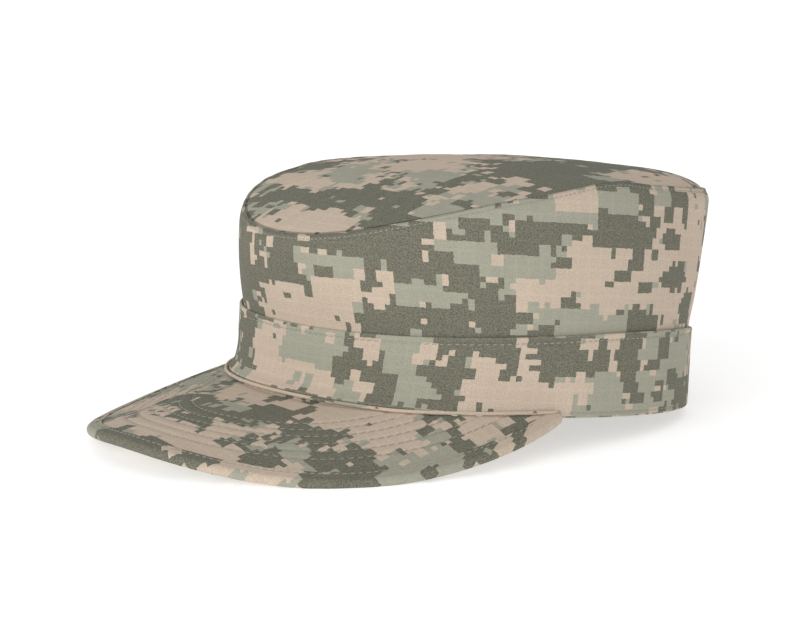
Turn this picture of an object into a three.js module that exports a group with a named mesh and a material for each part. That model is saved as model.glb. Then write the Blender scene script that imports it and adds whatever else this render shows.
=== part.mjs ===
// Patrol cap of printed cotton cloth: oval top, side wall, turned-up outer band, quilted visor.
// Lengths are in millimetres. +Z is up, the visor points to -Y, and the cap rests by itself
// on its rear hem and the two drooping corners of the visor.
import * as THREE from 'three';

// The hem, the oval edge that goes round the head
const HEM_LENGTH = 202;
const HEM_WIDTH = 188;
const HEM_SIDE_RISE = 0.8;
const HEM_FRONT_RISE = 1.6;
const OVAL_SQUARENESS = 2.15;

// The outer band, a doubled strip that is folded up round the wall
const BAND_HEIGHT = 28.5;
const BAND_SIDE_RISE = 6.2;
const BAND_FRONT_DROP = 1.1;
const BAND_WAVE = 0.6;
const BAND_TOP_LENGTH = 194;
const BAND_TOP_WIDTH = 188;
const BAND_TOP_SHIFT = 1.1;
const BAND_FRONT_FLARE = 5.3;
const BAND_CLOTH = 1.3;

// The side wall and the seam that ends it
const CROWN_LENGTH = 214;
const CROWN_WIDTH = 176;
const CROWN_SHIFT = 4;
const FRONT_HEIGHT = 64.7;
const REAR_HEIGHT = 96;
const RISE_LENGTH = 160;
const RISE_POWER = 2.7;
const SHOULDER_HEIGHT = 7;
const SHOULDER_INSET = 2.9;
const WALL_FRONT_BULGE = 1.4;
const WALL_REAR_BULGE = 0.3;
const WALL_SIDE_BULGE = 0.8;
const WALL_CLOTH = 1.3;
const WALL_HEM_LIFT = 1.6;

// The top, a flat oval of cloth that swells a little inside its seam
const TOP_SWELL = 6;
const TOP_SWELL_POWER = 1.27;
const TOP_CLOTH = 1.3;

// The visor, and the strip that binds its edge
const VISOR_REACH = 72;
const VISOR_ROOT_ANGLE = 72.7;
const VISOR_SIDE_SWELL = 14.2;
const VISOR_SIDE_POWER = 1.1;
const VISOR_FRONT_POWER = 1.14;
const VISOR_EDGE_HEIGHT = 1.65;
const VISOR_PITCH = 0.254;
const VISOR_DROOP = 15.6;
const VISOR_DROOP_POWER = 1.67;
const VISOR_CORNER_DROP = 3.8;
const VISOR_ROOT_HEIGHT = -0.5;
const VISOR_ROOT_RISE = 7.8;
const VISOR_ROOT_FLATTEN = 2.85;
const VISOR_CROWN = 0.8;
const VISOR_END_STAND = 1.5;
const VISOR_END_TUCK = 1.8;
const VISOR_TUCK_POWER = 12;
const EDGE_THICKNESS = 4.2;
const BINDING_WIDTH = 5.6;
const BINDING_CLOTH = 1;
const BINDING_STAND = 0.5;
const PLATE_STEP_LENGTH = 0.6;

// The thin roll in the corner between band and visor
const PIPING_DIAMETER = 2.2;

// Fits
const SEAM_GAP = 0.3;
const SETTLE = 0.7;

// How finely the curves are cut into flat faces
const COLUMNS = 72;
const VISOR_COLUMNS = 48;
const PIPING_SIDES = 8;
const BINDING_EDGE_STEPS = 4;

// Heights up the band as shares of it, and how much of the front flare is drawn in there
const BAND_ROWS = [
  { up: 0, drawn: 0 },
  { up: 0.1, drawn: 0.5 },
  { up: 0.3, drawn: 0.7 },
  { up: 0.65, drawn: 0.35 },
  { up: 1, drawn: 0 },
];

// Shares of the wall between the band's top edge and the shoulder
const WALL_ROWS = [{ up: 0.2 }, { up: 0.4 }, { up: 0.6 }, { up: 0.8 }, { up: 1 }];

// Shares of the shoulder that rolls in to the seam
const SHOULDER_ROWS = [{ over: 0.4 }, { over: 0.75 }, { over: 1 }];

// Rings of the top as shares of the way out from its middle to the seam
const TOP_RINGS = [
  { out: 1 }, { out: 0.96 }, { out: 0.9 }, { out: 0.8 }, { out: 0.65 },
  { out: 0.45 }, { out: 0.22 }, { out: 0 },
];

// Rows of the visor as shares of the plate between the band and the binding strip
const VISOR_ROWS = [{ out: 0 }, { out: 0.3 }, { out: 0.6 }, { out: 0.85 }, { out: 1 }];

const COLORS = { cloth: 0x9a9a84, top: 0xa5a28c, band: 0xada48f, edge: 0x8b8b78, roll: 0xc2b29a };

const mix = (from, to, share) => from + (to - from) * share;
const clampShare = (value) => Math.min(1, Math.max(0, value));
const radians = THREE.MathUtils.degToRad;
const signedPower = (value, power) => Math.sign(value) * Math.abs(value) ** power;

// A point of a squarish oval. The angle runs from the front, -Y, towards +X.
function ovalPoint(angle, halfLength, halfWidth, shift = 0) {
  const power = 2 / OVAL_SQUARENESS;
  return {
    x: halfWidth * signedPower(Math.sin(angle), power),
    y: shift - halfLength * signedPower(Math.cos(angle), power),
  };
}

// The same oval seen as a radius in the direction of a point outside it
function hemRadiusTowards(x, y) {
  const length = Math.hypot(x, y);
  const wide = Math.abs(x / length / (HEM_WIDTH / 2)) ** OVAL_SQUARENESS;
  const long = Math.abs(y / length / (HEM_LENGTH / 2)) ** OVAL_SQUARENESS;
  return (wide + long) ** (-1 / OVAL_SQUARENESS);
}

// The oval's own angle in the direction of a point
function hemAngleTowards(x, y) {
  const wide = Math.abs(x / (HEM_WIDTH / 2)) ** (OVAL_SQUARENESS / 2);
  const long = signedPower(-y / (HEM_LENGTH / 2), OVAL_SQUARENESS / 2);
  return Math.sign(x) * Math.atan2(wide, long);
}

const hemHeight = (angle) =>
  HEM_SIDE_RISE * Math.sin(angle) ** 2 + HEM_FRONT_RISE * Math.cos(angle);

const bandTopHeight = (angle) =>
  BAND_HEIGHT + BAND_SIDE_RISE * Math.sin(angle) ** 2
  - BAND_FRONT_DROP * Math.cos(angle) + BAND_WAVE * Math.cos(3 * angle);

// Height of the crown seam, which climbs fast behind the front and then runs level
function seamHeight(y) {
  const behindFront = y - CROWN_SHIFT + CROWN_LENGTH / 2;
  const left = 1 - clampShare(behindFront / RISE_LENGTH);
  return REAR_HEIGHT - (REAR_HEIGHT - FRONT_HEIGHT) * left ** RISE_POWER;
}

// A point of the band's outside, moved in by an inset
function bandPoint(angle, row, inset) {
  const front = Math.max(0, Math.cos(angle)) ** 2;
  const pulled = inset + BAND_FRONT_FLARE * row.drawn * front;
  const point = ovalPoint(
    angle,
    mix(HEM_LENGTH, BAND_TOP_LENGTH, row.up) / 2 - pulled,
    mix(HEM_WIDTH, BAND_TOP_WIDTH, row.up) / 2 - pulled,
    BAND_TOP_SHIFT * row.up,
  );
  return new THREE.Vector3(point.x, point.y, mix(hemHeight(angle), bandTopHeight(angle), row.up));
}

// A point of the wall above the band: lean, bulge and rolled shoulder, moved in by an inset
function wallPoint(angle, up, over, inset) {
  const full = ovalPoint(angle, CROWN_LENGTH / 2, CROWN_WIDTH / 2, CROWN_SHIFT);
  const seam = seamHeight(full.y);
  const foot = bandTopHeight(angle);
  const turn = over * Math.PI / 2;
  const outsideHeight = mix(foot, seam - SHOULDER_HEIGHT, up) + SHOULDER_HEIGHT * over;
  const lean = (outsideHeight - foot) / (seam - foot);
  const endBulge = full.y < CROWN_SHIFT ? WALL_FRONT_BULGE : WALL_REAR_BULGE;
  const along = ((full.y - CROWN_SHIFT) / (CROWN_LENGTH / 2)) ** 2;
  const bulge = 4 * lean * (1 - lean) * mix(WALL_SIDE_BULGE, endBulge, along);
  const behindBand = (BAND_CLOTH + SEAM_GAP) * (1 - lean);
  const inside = behindBand - bulge + SHOULDER_INSET * over ** 2 + inset * Math.cos(turn);
  const point = ovalPoint(
    angle,
    mix(BAND_TOP_LENGTH, CROWN_LENGTH, lean) / 2 - inside,
    mix(BAND_TOP_WIDTH, CROWN_WIDTH, lean) / 2 - inside,
    mix(BAND_TOP_SHIFT, CROWN_SHIFT, lean),
  );
  return new THREE.Vector3(point.x, point.y, outsideHeight - inset * Math.sin(turn));
}

// A point of the top: the seam's height along the cap, plus a swell that dies out at the seam
function topPoint(angle, out, drop) {
  const edge = ovalPoint(
    angle,
    CROWN_LENGTH / 2 - SHOULDER_INSET - SEAM_GAP,
    CROWN_WIDTH / 2 - SHOULDER_INSET - SEAM_GAP,
  );
  const y = CROWN_SHIFT + edge.y * out;
  const swell = TOP_SWELL * (1 - out ** 2) ** TOP_SWELL_POWER;
  return new THREE.Vector3(edge.x * out, y, seamHeight(y) + swell - drop);
}

// Middle of the visor's rounded edge. The turn runs from -1 to 1, one side to the other.
function visorEdgePoint(turn) {
  const angle = turn * Math.PI / 2;
  const root = ovalPoint(
    radians(VISOR_ROOT_ANGLE),
    HEM_LENGTH / 2 + VISOR_END_STAND,
    HEM_WIDTH / 2 + VISOR_END_STAND,
  );
  const front = -HEM_LENGTH / 2 - VISOR_REACH + EDGE_THICKNESS / 2;
  const bend = Math.sin(2 * angle);
  const x = root.x * signedPower(Math.sin(angle), VISOR_SIDE_POWER) + VISOR_SIDE_SWELL * bend;
  const y = root.y + (front - root.y) * Math.abs(Math.cos(angle)) ** VISOR_FRONT_POWER;
  const z = VISOR_EDGE_HEIGHT + VISOR_PITCH * (y + HEM_LENGTH / 2)
    - VISOR_DROOP * Math.abs(x / root.x) ** VISOR_DROOP_POWER - VISOR_CORNER_DROP * bend ** 2
    - VISOR_END_TUCK * Math.sin(angle) ** VISOR_TUCK_POWER;
  return new THREE.Vector3(x, y, z);
}

// Height of the visor's top where it meets the band
function visorRootHeight(x, y) {
  const bow = 1 - Math.cos(hemAngleTowards(x, y));
  return VISOR_ROOT_HEIGHT + VISOR_ROOT_RISE * bow - VISOR_ROOT_FLATTEN * bow ** 2;
}

// One ray across the visor, from the band to the middle of the edge, with its lengths
function visorRay(turn) {
  const edge = visorEdgePoint(turn);
  const reach = Math.hypot(edge.x, edge.y);
  const start = hemRadiusTowards(edge.x, edge.y) + SEAM_GAP;
  const along = new THREE.Vector3(edge.x / reach, edge.y / reach, 0);
  const step = 0.001;
  const next = visorEdgePoint(turn + (turn > 0 ? -step : step));
  const tangent = next.sub(edge).setZ(0).normalize();
  const square = Math.sqrt(1 - tangent.dot(along) ** 2);
  return { edge, along, start, width: reach - start, square, root: visorRootHeight(edge.x, edge.y) };
}

const visorTurns = Array.from(
  { length: VISOR_COLUMNS + 1 },
  (_, index) => 2 * index / VISOR_COLUMNS - 1,
);

// A point on a visor ray: out from the band by a length, below the finished top by a drop
function visorPoint(ray, out, drop) {
  const share = out / ray.width;
  const radius = ray.start + out;
  const crown = VISOR_CROWN * (ray.width / VISOR_REACH) ** 2;
  const top = mix(ray.root, ray.edge.z + EDGE_THICKNESS / 2, share)
    + crown * 4 * share * (1 - share);
  return new THREE.Vector3(ray.along.x * radius, ray.along.y * radius, top - drop);
}

// Where the binding strip ends on a ray, counted from the band
function bindingStart(ray) {
  const leaf = (BINDING_WIDTH - EDGE_THICKNESS / 2) / ray.square;
  return Math.max(SEAM_GAP, ray.width - leaf);
}

// Grids of points become a closed sheet of cloth: its outside, its inside and its edges.
// A grid is a list of rows, and a ringed grid joins its last column to its first.
function sheetMesh(outside, inside, ringed) {
  const quads = [];
  const rows = outside.length;
  const columns = outside[0].length;
  const spans = ringed ? columns : columns - 1;
  const across = (index) => (index + 1) % columns;
  for (let row = 0; row + 1 < rows; row += 1) {
    for (let column = 0; column < spans; column += 1) {
      const next = across(column);
      quads.push([outside[row][column], outside[row][next],
        outside[row + 1][next], outside[row + 1][column]]);
      quads.push([inside[row][next], inside[row][column],
        inside[row + 1][column], inside[row + 1][next]]);
    }
  }
  for (let column = 0; column < spans; column += 1) {
    const next = across(column);
    const last = rows - 1;
    quads.push([outside[0][next], outside[0][column], inside[0][column], inside[0][next]]);
    quads.push([outside[last][column], outside[last][next],
      inside[last][next], inside[last][column]]);
  }
  if (!ringed) {
    const last = columns - 1;
    for (let row = 0; row + 1 < rows; row += 1) {
      quads.push([outside[row][0], outside[row + 1][0], inside[row + 1][0], inside[row][0]]);
      quads.push([outside[row + 1][last], outside[row][last],
        inside[row][last], inside[row + 1][last]]);
    }
  }
  return quads;
}

// A closed roll: rings of points along a path, with flat ends
function rollMesh(rings) {
  const quads = [];
  const sides = rings[0].length;
  for (let ring = 0; ring + 1 < rings.length; ring += 1) {
    for (let side = 0; side < sides; side += 1) {
      const next = (side + 1) % sides;
      quads.push([rings[ring][side], rings[ring][next],
        rings[ring + 1][next], rings[ring + 1][side]]);
    }
  }
  for (let side = 1; side + 1 < sides; side += 1) {
    const last = rings[rings.length - 1];
    quads.push([rings[0][0], rings[0][side + 1], rings[0][side]]);
    quads.push([last[0], last[side], last[side + 1]]);
  }
  return quads;
}

// Six times the volume that a list of triangles closes in, negative if they face inwards
function signedVolume(triangles) {
  return triangles.reduce((sum, [a, b, c]) => sum + a.dot(b.clone().cross(c)), 0);
}

// Quads and triangles become one geometry with shared points and its faces pointing out
function closedGeometry(faces) {
  const fans = faces.flatMap((face) => face.slice(2).map((_, i) => [face[0], face[i + 1], face[i + 2]]));
  const outwards = signedVolume(fans) < 0 ? fans.map(([a, b, c]) => [a, c, b]) : fans;
  const positions = [];
  const numbers = new Map();
  const numberOf = (point) => {
    const key = point.toArray().map((value) => value.toFixed(4)).join();
    if (!numbers.has(key)) {
      numbers.set(key, numbers.size);
      positions.push(...point.toArray());
    }
    return numbers.get(key);
  };
  const indices = outwards
    .map((triangle) => triangle.map(numberOf))
    .filter(([a, b, c]) => a !== b && b !== c && c !== a)
    .flat();
  const geometry = new THREE.BufferGeometry();
  geometry.setAttribute('position', new THREE.Float32BufferAttribute(positions, 3));
  geometry.setIndex(indices);
  geometry.computeVertexNormals();
  return geometry;
}

const ringAngles = Array.from({ length: COLUMNS }, (_, i) => (2 * i / COLUMNS - 1) * Math.PI);
const ringGrid = (rows, pointAt) => rows.map((row) => ringAngles.map((angle) => pointAt(angle, row)));

function bandFaces() {
  const outside = ringGrid(BAND_ROWS, (angle, row) => bandPoint(angle, row, 0));
  const inside = ringGrid(BAND_ROWS, (angle, row) => bandPoint(angle, row, BAND_CLOTH));
  return sheetMesh(outside, inside, true);
}

// The wall starts inside the band, just above the hem, and ends at the crown seam
function sideWallFaces() {
  const liftShare = WALL_HEM_LIFT / BAND_HEIGHT;
  const [hem, above] = BAND_ROWS;
  const first = { up: liftShare, drawn: mix(hem.drawn, above.drawn, liftShare / above.up) };
  const behindBand = [first, ...BAND_ROWS.slice(1, -1)];
  const grid = (inset) => [
    ...ringGrid(behindBand, (angle, row) => bandPoint(angle, row, BAND_CLOTH + SEAM_GAP + inset)),
    ...ringGrid([{ up: 0 }, ...WALL_ROWS], (angle, row) => wallPoint(angle, row.up, 0, inset)),
    ...ringGrid(SHOULDER_ROWS, (angle, row) => wallPoint(angle, 1, row.over, inset)),
  ];
  return sheetMesh(grid(0), grid(WALL_CLOTH), true);
}

function crownTopFaces() {
  const outside = ringGrid(TOP_RINGS, (angle, ring) => topPoint(angle, ring.out, 0));
  const inside = ringGrid(TOP_RINGS, (angle, ring) => topPoint(angle, ring.out, TOP_CLOTH));
  return sheetMesh(outside, inside, true);
}

// The plate lies between the band and the binding strip, and thins to slip into the strip
function visorFaces() {
  const rays = visorTurns.map(visorRay);
  const tongue = BINDING_CLOTH + SEAM_GAP;
  const grid = (drop, tongueDrop) => [
    ...VISOR_ROWS.map((row) => rays.map((ray) => {
      const bare = Math.max(0, bindingStart(ray) - SEAM_GAP - PLATE_STEP_LENGTH);
      return visorPoint(ray, bare * row.out, drop);
    })),
    ...[0, 1].map((far) => rays.map((ray) => {
      const near = bindingStart(ray) - SEAM_GAP;
      return visorPoint(ray, mix(near, ray.width, far), tongueDrop);
    })),
  ];
  const top = grid(BINDING_STAND, tongue);
  const underside = grid(EDGE_THICKNESS - BINDING_STAND, EDGE_THICKNESS - tongue);
  return sheetMesh(top, underside, false);
}

// The binding strip folds over the plate's edge: a top leaf, a rounded edge and an under leaf
function bindingFaces() {
  const rays = visorTurns.map(visorRay);
  const half = EDGE_THICKNESS / 2;
  const section = (ray, thickness) => {
    const near = bindingStart(ray);
    const upper = [near, mix(near, ray.width, 0.5)].map((out) => visorPoint(ray, out, thickness));
    const lower = [mix(near, ray.width, 0.5), near]
      .map((out) => visorPoint(ray, out, EDGE_THICKNESS - thickness));
    const middle = visorPoint(ray, ray.width, half);
    const bend = Array.from({ length: BINDING_EDGE_STEPS + 1 }, (_, index) => {
      const angle = Math.PI * (0.5 - index / BINDING_EDGE_STEPS);
      const radius = half - thickness;
      return middle.clone()
        .addScaledVector(ray.along, radius * Math.cos(angle))
        .add(new THREE.Vector3(0, 0, radius * Math.sin(angle)));
    });
    return [...upper, ...bend, ...lower];
  };
  const outside = rays.map((ray) => section(ray, 0));
  const inside = rays.map((ray) => section(ray, BINDING_CLOTH));
  return sheetMesh(outside, inside, false);
}

// The roll lies in the corner between the band and the visor's top
function pipingFaces() {
  const radius = PIPING_DIAMETER / 2;
  const rings = visorTurns.map(visorRay).map((ray) => {
    const centre = visorPoint(ray, radius, 0);
    const under = visorPoint(ray, Math.min(PIPING_DIAMETER, ray.width), 0);
    centre.z = Math.max(ray.root, under.z) + SEAM_GAP + radius;
    return Array.from({ length: PIPING_SIDES }, (_, side) => {
      const angle = (side + 0.5) * 2 * Math.PI / PIPING_SIDES;
      return centre.clone()
        .addScaledVector(ray.along, radius * Math.cos(angle))
        .add(new THREE.Vector3(0, 0, radius * Math.sin(angle)));
    });
  });
  return rollMesh(rings);
}

const pieces = [
  { name: 'crown_top', faces: crownTopFaces(), color: COLORS.top },
  { name: 'side_wall', faces: sideWallFaces(), color: COLORS.cloth },
  { name: 'band', faces: bandFaces(), color: COLORS.band },
  { name: 'visor', faces: visorFaces(), color: COLORS.cloth },
  { name: 'visor_binding', faces: bindingFaces(), color: COLORS.edge },
  { name: 'visor_piping', faces: pipingFaces(), color: COLORS.roll },
];

const pointsOf = (name) => pieces.find((piece) => piece.name === name).faces.flat();

// Turns a point about the X axis, front up
const pitched = (point, pitch) => point.clone().applyAxisAngle(new THREE.Vector3(1, 0, 0), -pitch);
const lowest = (points, pitch) => Math.min(...points.map((point) => pitched(point, pitch).z));

// The pitch at which the rear hem and the visor's corners are level, as the cap rests by itself
function restPitch() {
  const hem = pointsOf('band');
  const corners = pointsOf('visor_binding');
  let low = 0;
  let high = radians(30);
  for (let pass = 0; pass < 40; pass += 1) {
    const middle = (low + high) / 2;
    if (lowest(corners, middle) < lowest(hem, middle)) low = middle;
    else high = middle;
  }
  return low;
}

const pitch = restPitch();
const floor = lowest(pointsOf('band'), pitch) + SETTLE;

// The cap at rest: pitched, and its cloth pressed flat where it meets the floor
function settled(point) {
  const turned = pitched(point, pitch);
  turned.z = Math.max(0, turned.z - floor);
  return turned;
}

const cap = new THREE.Group();
for (const { name, faces, color } of pieces) {
  const geometry = closedGeometry(faces.map((face) => face.map(settled)));
  const material = new THREE.MeshStandardMaterial({ color, roughness: 0.92, metalness: 0 });
  const mesh = new THREE.Mesh(geometry, material);
  mesh.name = name;
  cap.add(mesh);
}

// The origin is on the floor, in the middle of the cap's length
const bounds = new THREE.Box3().setFromObject(cap);
cap.position.y = -(bounds.min.y + bounds.max.y) / 2;

const group = new THREE.Group();
group.add(cap);

export default group;
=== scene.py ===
# %% [markdown]
# A patrol cap is sewn from flat panels of printed ripstop cotton: an oval top, a side wall, a
# band that is folded up round the wall, and a quilted visor whose edge is bound with a strip.
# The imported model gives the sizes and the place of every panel. This lesson lays the cloth over
# it: each panel becomes a surface worked out with numpy, gets its seams and stitches, and then a
# finish made only of shader nodes. The fixed frame is loaded first, because every later step
# measures itself against it.

# %% Load the fixed frame
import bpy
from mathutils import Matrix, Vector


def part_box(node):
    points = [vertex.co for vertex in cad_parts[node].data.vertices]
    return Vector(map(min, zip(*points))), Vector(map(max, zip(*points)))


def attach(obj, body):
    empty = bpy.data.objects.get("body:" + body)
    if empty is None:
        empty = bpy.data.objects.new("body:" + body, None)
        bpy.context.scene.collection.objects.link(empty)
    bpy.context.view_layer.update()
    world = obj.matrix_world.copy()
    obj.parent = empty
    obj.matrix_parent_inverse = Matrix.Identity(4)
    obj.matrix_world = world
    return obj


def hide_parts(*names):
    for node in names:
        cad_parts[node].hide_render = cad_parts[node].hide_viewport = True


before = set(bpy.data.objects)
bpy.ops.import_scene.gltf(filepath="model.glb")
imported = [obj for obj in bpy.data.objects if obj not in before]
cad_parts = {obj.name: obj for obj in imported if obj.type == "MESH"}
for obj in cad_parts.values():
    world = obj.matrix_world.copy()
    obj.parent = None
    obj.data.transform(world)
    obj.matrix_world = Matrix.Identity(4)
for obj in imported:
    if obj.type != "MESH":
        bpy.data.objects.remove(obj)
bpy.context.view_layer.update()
print("panels in the frame:", sorted(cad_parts))

# %% Tools
import math

import bpy
import numpy as np
from mathutils import Quaternion, Vector

scene = bpy.context.scene

# %% [markdown]
# The camera comes next, so that everything can be judged from the right spot. It stands to the
# front left of the cap, a little above it, and looks through a long lens from close by. A camera
# could be placed by dragging it, but naming its direction, distance and lens makes the view
# repeatable.

# %% The camera
VIEW_AZIMUTH = math.radians(48.364)
VIEW_ELEVATION = math.radians(9.296)
VIEW_ROLL = math.radians(0.335)
VIEW_DISTANCE = 0.7846
VIEW_TARGET = Vector((-0.01669, 0.00858, 0.03809))
LENS_MM = 81.32
SENSOR_MM = 36.0

backwards = Vector((
    math.sin(VIEW_AZIMUTH) * math.cos(VIEW_ELEVATION),
    -math.cos(VIEW_AZIMUTH) * math.cos(VIEW_ELEVATION),
    math.sin(VIEW_ELEVATION),
))
camera = bpy.data.objects.new("camera", bpy.data.cameras.new("camera"))
scene.collection.objects.link(camera)
camera.data.lens = LENS_MM
camera.data.sensor_width = SENSOR_MM
camera.data.clip_start = 0.02
camera.data.clip_end = 200
camera.location = VIEW_TARGET + backwards * VIEW_DISTANCE
camera.rotation_mode = "QUATERNION"
level = (-backwards).to_track_quat("-Z", "Y")
camera.rotation_quaternion = level @ Quaternion((0, 0, 1), VIEW_ROLL)
scene.camera = camera
print("camera at", [round(value, 3) for value in camera.location])

# %% [markdown]
# Next come the sizes, in millimetres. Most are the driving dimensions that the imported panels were
# cut to, because cloth that is worked out from the same values lands where the panels are. Only
# the bulge of the wall and the swell of the top follow the real cap a little closer. The angle
# round the cap starts at the front and runs towards the wearer's left.

# %% Sizes of the band, the wall and the top
HEM_LENGTH, HEM_WIDTH = 202.0, 188.0
HEM_SIDE_RISE, HEM_FRONT_RISE = 0.8, 1.6
OVAL_SQUARENESS = 2.15
BAND_HEIGHT, BAND_SIDE_RISE, BAND_FRONT_DROP, BAND_WAVE = 28.5, 6.2, 1.1, 0.6
BAND_TOP_LENGTH, BAND_TOP_WIDTH, BAND_TOP_SHIFT = 194.0, 188.0, 1.1
BAND_FRONT_FLARE = 5.3
CROWN_LENGTH, CROWN_WIDTH, CROWN_SHIFT = 214.0, 176.0, 4.0
FRONT_HEIGHT, REAR_HEIGHT = 64.7, 96.0
RISE_LENGTH, RISE_POWER = 160.0, 2.7
SHOULDER_HEIGHT, SHOULDER_INSET, FRONT_INSET_LOSS = 7.0, 2.9, 1.7
WALL_FRONT_BULGE, WALL_REAR_BULGE, WALL_SIDE_BULGE = 1.9, 0.7, 0.8
WALL_HEM_LIFT = 1.6
TOP_SWELL, REAR_SWELL, TOP_SWELL_POWER = 5.5, 3.6, 0.8
REAR_PILLOW, PILLOW_POWER = 3.4, 14
CLOTH = 1.3
SEAM_GAP = 0.3

# %% Sizes of the visor, its binding and the roll
VISOR_REACH = 72.0
VISOR_ROOT_ANGLE = math.radians(72.7)
VISOR_SIDE_SWELL, VISOR_SIDE_POWER, VISOR_FRONT_POWER = 14.2, 1.1, 1.14
VISOR_EDGE_HEIGHT, VISOR_PITCH = 1.65, 0.254
VISOR_DROOP, VISOR_DROOP_POWER, VISOR_CORNER_DROP = 15.6, 1.67, 3.8
VISOR_ROOT_HEIGHT, VISOR_ROOT_RISE, VISOR_ROOT_FLATTEN = -0.5, 7.8, 2.85
VISOR_CROWN = 0.8
VISOR_END_STAND, VISOR_END_TUCK, VISOR_TUCK_POWER = 1.5, 1.8, 12
EDGE_THICKNESS = 4.2
BINDING_WIDTH, BINDING_CLOTH, BINDING_STAND = 5.6, 1.0, 0.5
ROLL_DIAMETER = 2.2

# %% How the cap settles on the floor
REST_PITCH = math.radians(5.194955)
SETTLE = 0.7
MM = 0.001

# %% [markdown]
# A few small helpers carry the arithmetic. Each one takes whole arrays, so a surface with a
# hundred thousand points needs no loop. An oval is a little squarer than an ellipse: the sine
# and cosine of the angle are raised to a power just under one, keeping their signs.


# %% Arithmetic for whole arrays
def mix(start, end, share):
    """The value that lies the given share of the way from start to end."""
    return start + (end - start) * share


def signed_power(value, power):
    """The size of a value raised to a power, with the value's own sign put back."""
    return np.sign(value) * np.abs(value) ** power


def oval(angle, half_length, half_width):
    """x is half the width times the sine to a power, y is minus half the length times the cosine."""
    power = 2 / OVAL_SQUARENESS
    x = half_width * signed_power(np.sin(angle), power)
    return x, -half_length * signed_power(np.cos(angle), power)


def points(x, y, z):
    """Three arrays stretched to one shape and stacked as points."""
    return np.stack(np.broadcast_arrays(x, y, z), -1).astype(float)


def spaced(*stretches):
    """Places along a profile, from stretches that each give a start, an end and a count."""
    return np.unique(np.concatenate([np.linspace(*stretch) for stretch in stretches]))


def through_points(x, places, values):
    """A smooth curve through a short table: cubic pieces whose slopes come from the neighbours."""
    places, values = np.array(places, float), np.array(values, float)
    slopes = np.gradient(values, places)
    piece = np.clip(np.searchsorted(places, x) - 1, 0, len(places) - 2)
    span = places[piece + 1] - places[piece]
    share = (x - places[piece]) / span
    near = (1 + 2 * share) * (1 - share) ** 2 * values[piece]
    far = share ** 2 * (3 - 2 * share) * values[piece + 1]
    bend = share * (1 - share) ** 2 * slopes[piece] - share ** 2 * (1 - share) * slopes[piece + 1]
    return near + far + bend * span


def groove(distance, depth, width):
    """A soft valley: the depth times a bell curve of the distance over the width."""
    return -depth * np.exp(-(distance / width) ** 2)


print("oval of the hem at the front:", [round(float(v), 1) for v in oval(0.0, 101.0, 94.0)])

# %% [markdown]
# Sewn cloth is never quite even. It could be roughened with a noise texture and a Displace
# modifier, but a sum of a few cosine waves does the same with a formula, repeats itself exactly
# on each run, and closes up round the cap when every wave fits a whole number of times.


# %% Soft unevenness
def ring_waves(angle, height, seed, counts):
    """The mean of cosines that go a whole number of times round and drift sideways with height."""
    draw = np.random.default_rng(seed)
    total = 0.0
    for count in counts:
        total = total + np.cos(count * angle + draw.uniform(-0.09, 0.09) * height
                               + draw.uniform(0, 2 * math.pi))
    return total / len(counts)


def plane_waves(x, y, seed, lengths):
    """The mean of cosine waves of the given lengths, each running in its own direction."""
    draw = np.random.default_rng(seed)
    total = 0.0
    for length in lengths:
        turn = draw.uniform(0, math.pi)
        across = (x * math.cos(turn) + y * math.sin(turn)) / length
        total = total + np.cos(2 * math.pi * across + draw.uniform(0, 2 * math.pi))
    return total / len(lengths)


print("one wave sample:", round(float(ring_waves(0.3, 10.0, 1, (9, 14))), 3))

# %% [markdown]
# The band and the wall follow the oval of the hem and lean out or in as they rise. In front the
# visor pushes the lowest few millimetres of the band out, so a short table says how much the band
# is drawn in above them. A second table lets the crown seam sink towards the rear, as soft cloth
# does. One long formula could say the same, but a curve through a few values is easier to fit.

# %% The surfaces of the band and the wall
FLARE_UP = (0.0, 0.1, 0.3, 0.65, 1.0)
FLARE_DRAWN = (0.0, 0.5, 0.7, 0.35, 0.0)
SINK_PLACES = (-110, -94, -60, -31, -20, -10, 0, 10, 26, 46, 76, 115)
SEAM_SINKS = (0.2, -0.4, -0.1, 0.3, -0.4, -1.0, -0.6, 0.8, 1.8, 2.4, 2.8, 2.8)


def hem_height(angle):
    """The hem lifts with the cosine towards the front and with the squared sine at the sides."""
    return HEM_SIDE_RISE * np.sin(angle) ** 2 + HEM_FRONT_RISE * np.cos(angle)


def band_top_height(angle):
    """The fold of the band: highest at the sides, lowest in front, with a slight triple wave."""
    return (BAND_HEIGHT + BAND_SIDE_RISE * np.sin(angle) ** 2
            - BAND_FRONT_DROP * np.cos(angle) + BAND_WAVE * np.cos(3 * angle))


def seam_height(y, angle, sunk=1.0):
    """The crown seam climbs fast behind the front, runs level, and sinks by a short table.

    Where the table is below nought the seam stands higher, but only on the wearer's left.
    """
    left = 1 - np.clip((y - CROWN_SHIFT + CROWN_LENGTH / 2) / RISE_LENGTH, 0, 1)
    sink = through_points(np.clip(y, SINK_PLACES[0], SINK_PLACES[-1]), SINK_PLACES, SEAM_SINKS)
    sink = mix(np.maximum(sink, 0), sink, np.clip(0.5 + 2 * np.sin(angle), 0, 1))
    return REAR_HEIGHT - (REAR_HEIGHT - FRONT_HEIGHT) * left ** RISE_POWER - sink * sunk


def shoulder_inset(angle):
    """How far the wall rolls in at the seam: least in front, by the squared cosine."""
    return SHOULDER_INSET - FRONT_INSET_LOSS * np.maximum(0, np.cos(angle)) ** 2


def band_surface(angle, up, inset):
    """An oval that mixes hem and fold by the share up, drawn in where the front is upright."""
    front = np.maximum(0, np.cos(angle)) ** 2
    pulled = inset + BAND_FRONT_FLARE * through_points(up, FLARE_UP, FLARE_DRAWN) * front
    x, y = oval(angle, mix(HEM_LENGTH, BAND_TOP_LENGTH, up) / 2 - pulled,
                mix(HEM_WIDTH, BAND_TOP_WIDTH, up) / 2 - pulled)
    return points(x, y + BAND_TOP_SHIFT * up, mix(hem_height(angle), band_top_height(angle), up))


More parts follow.
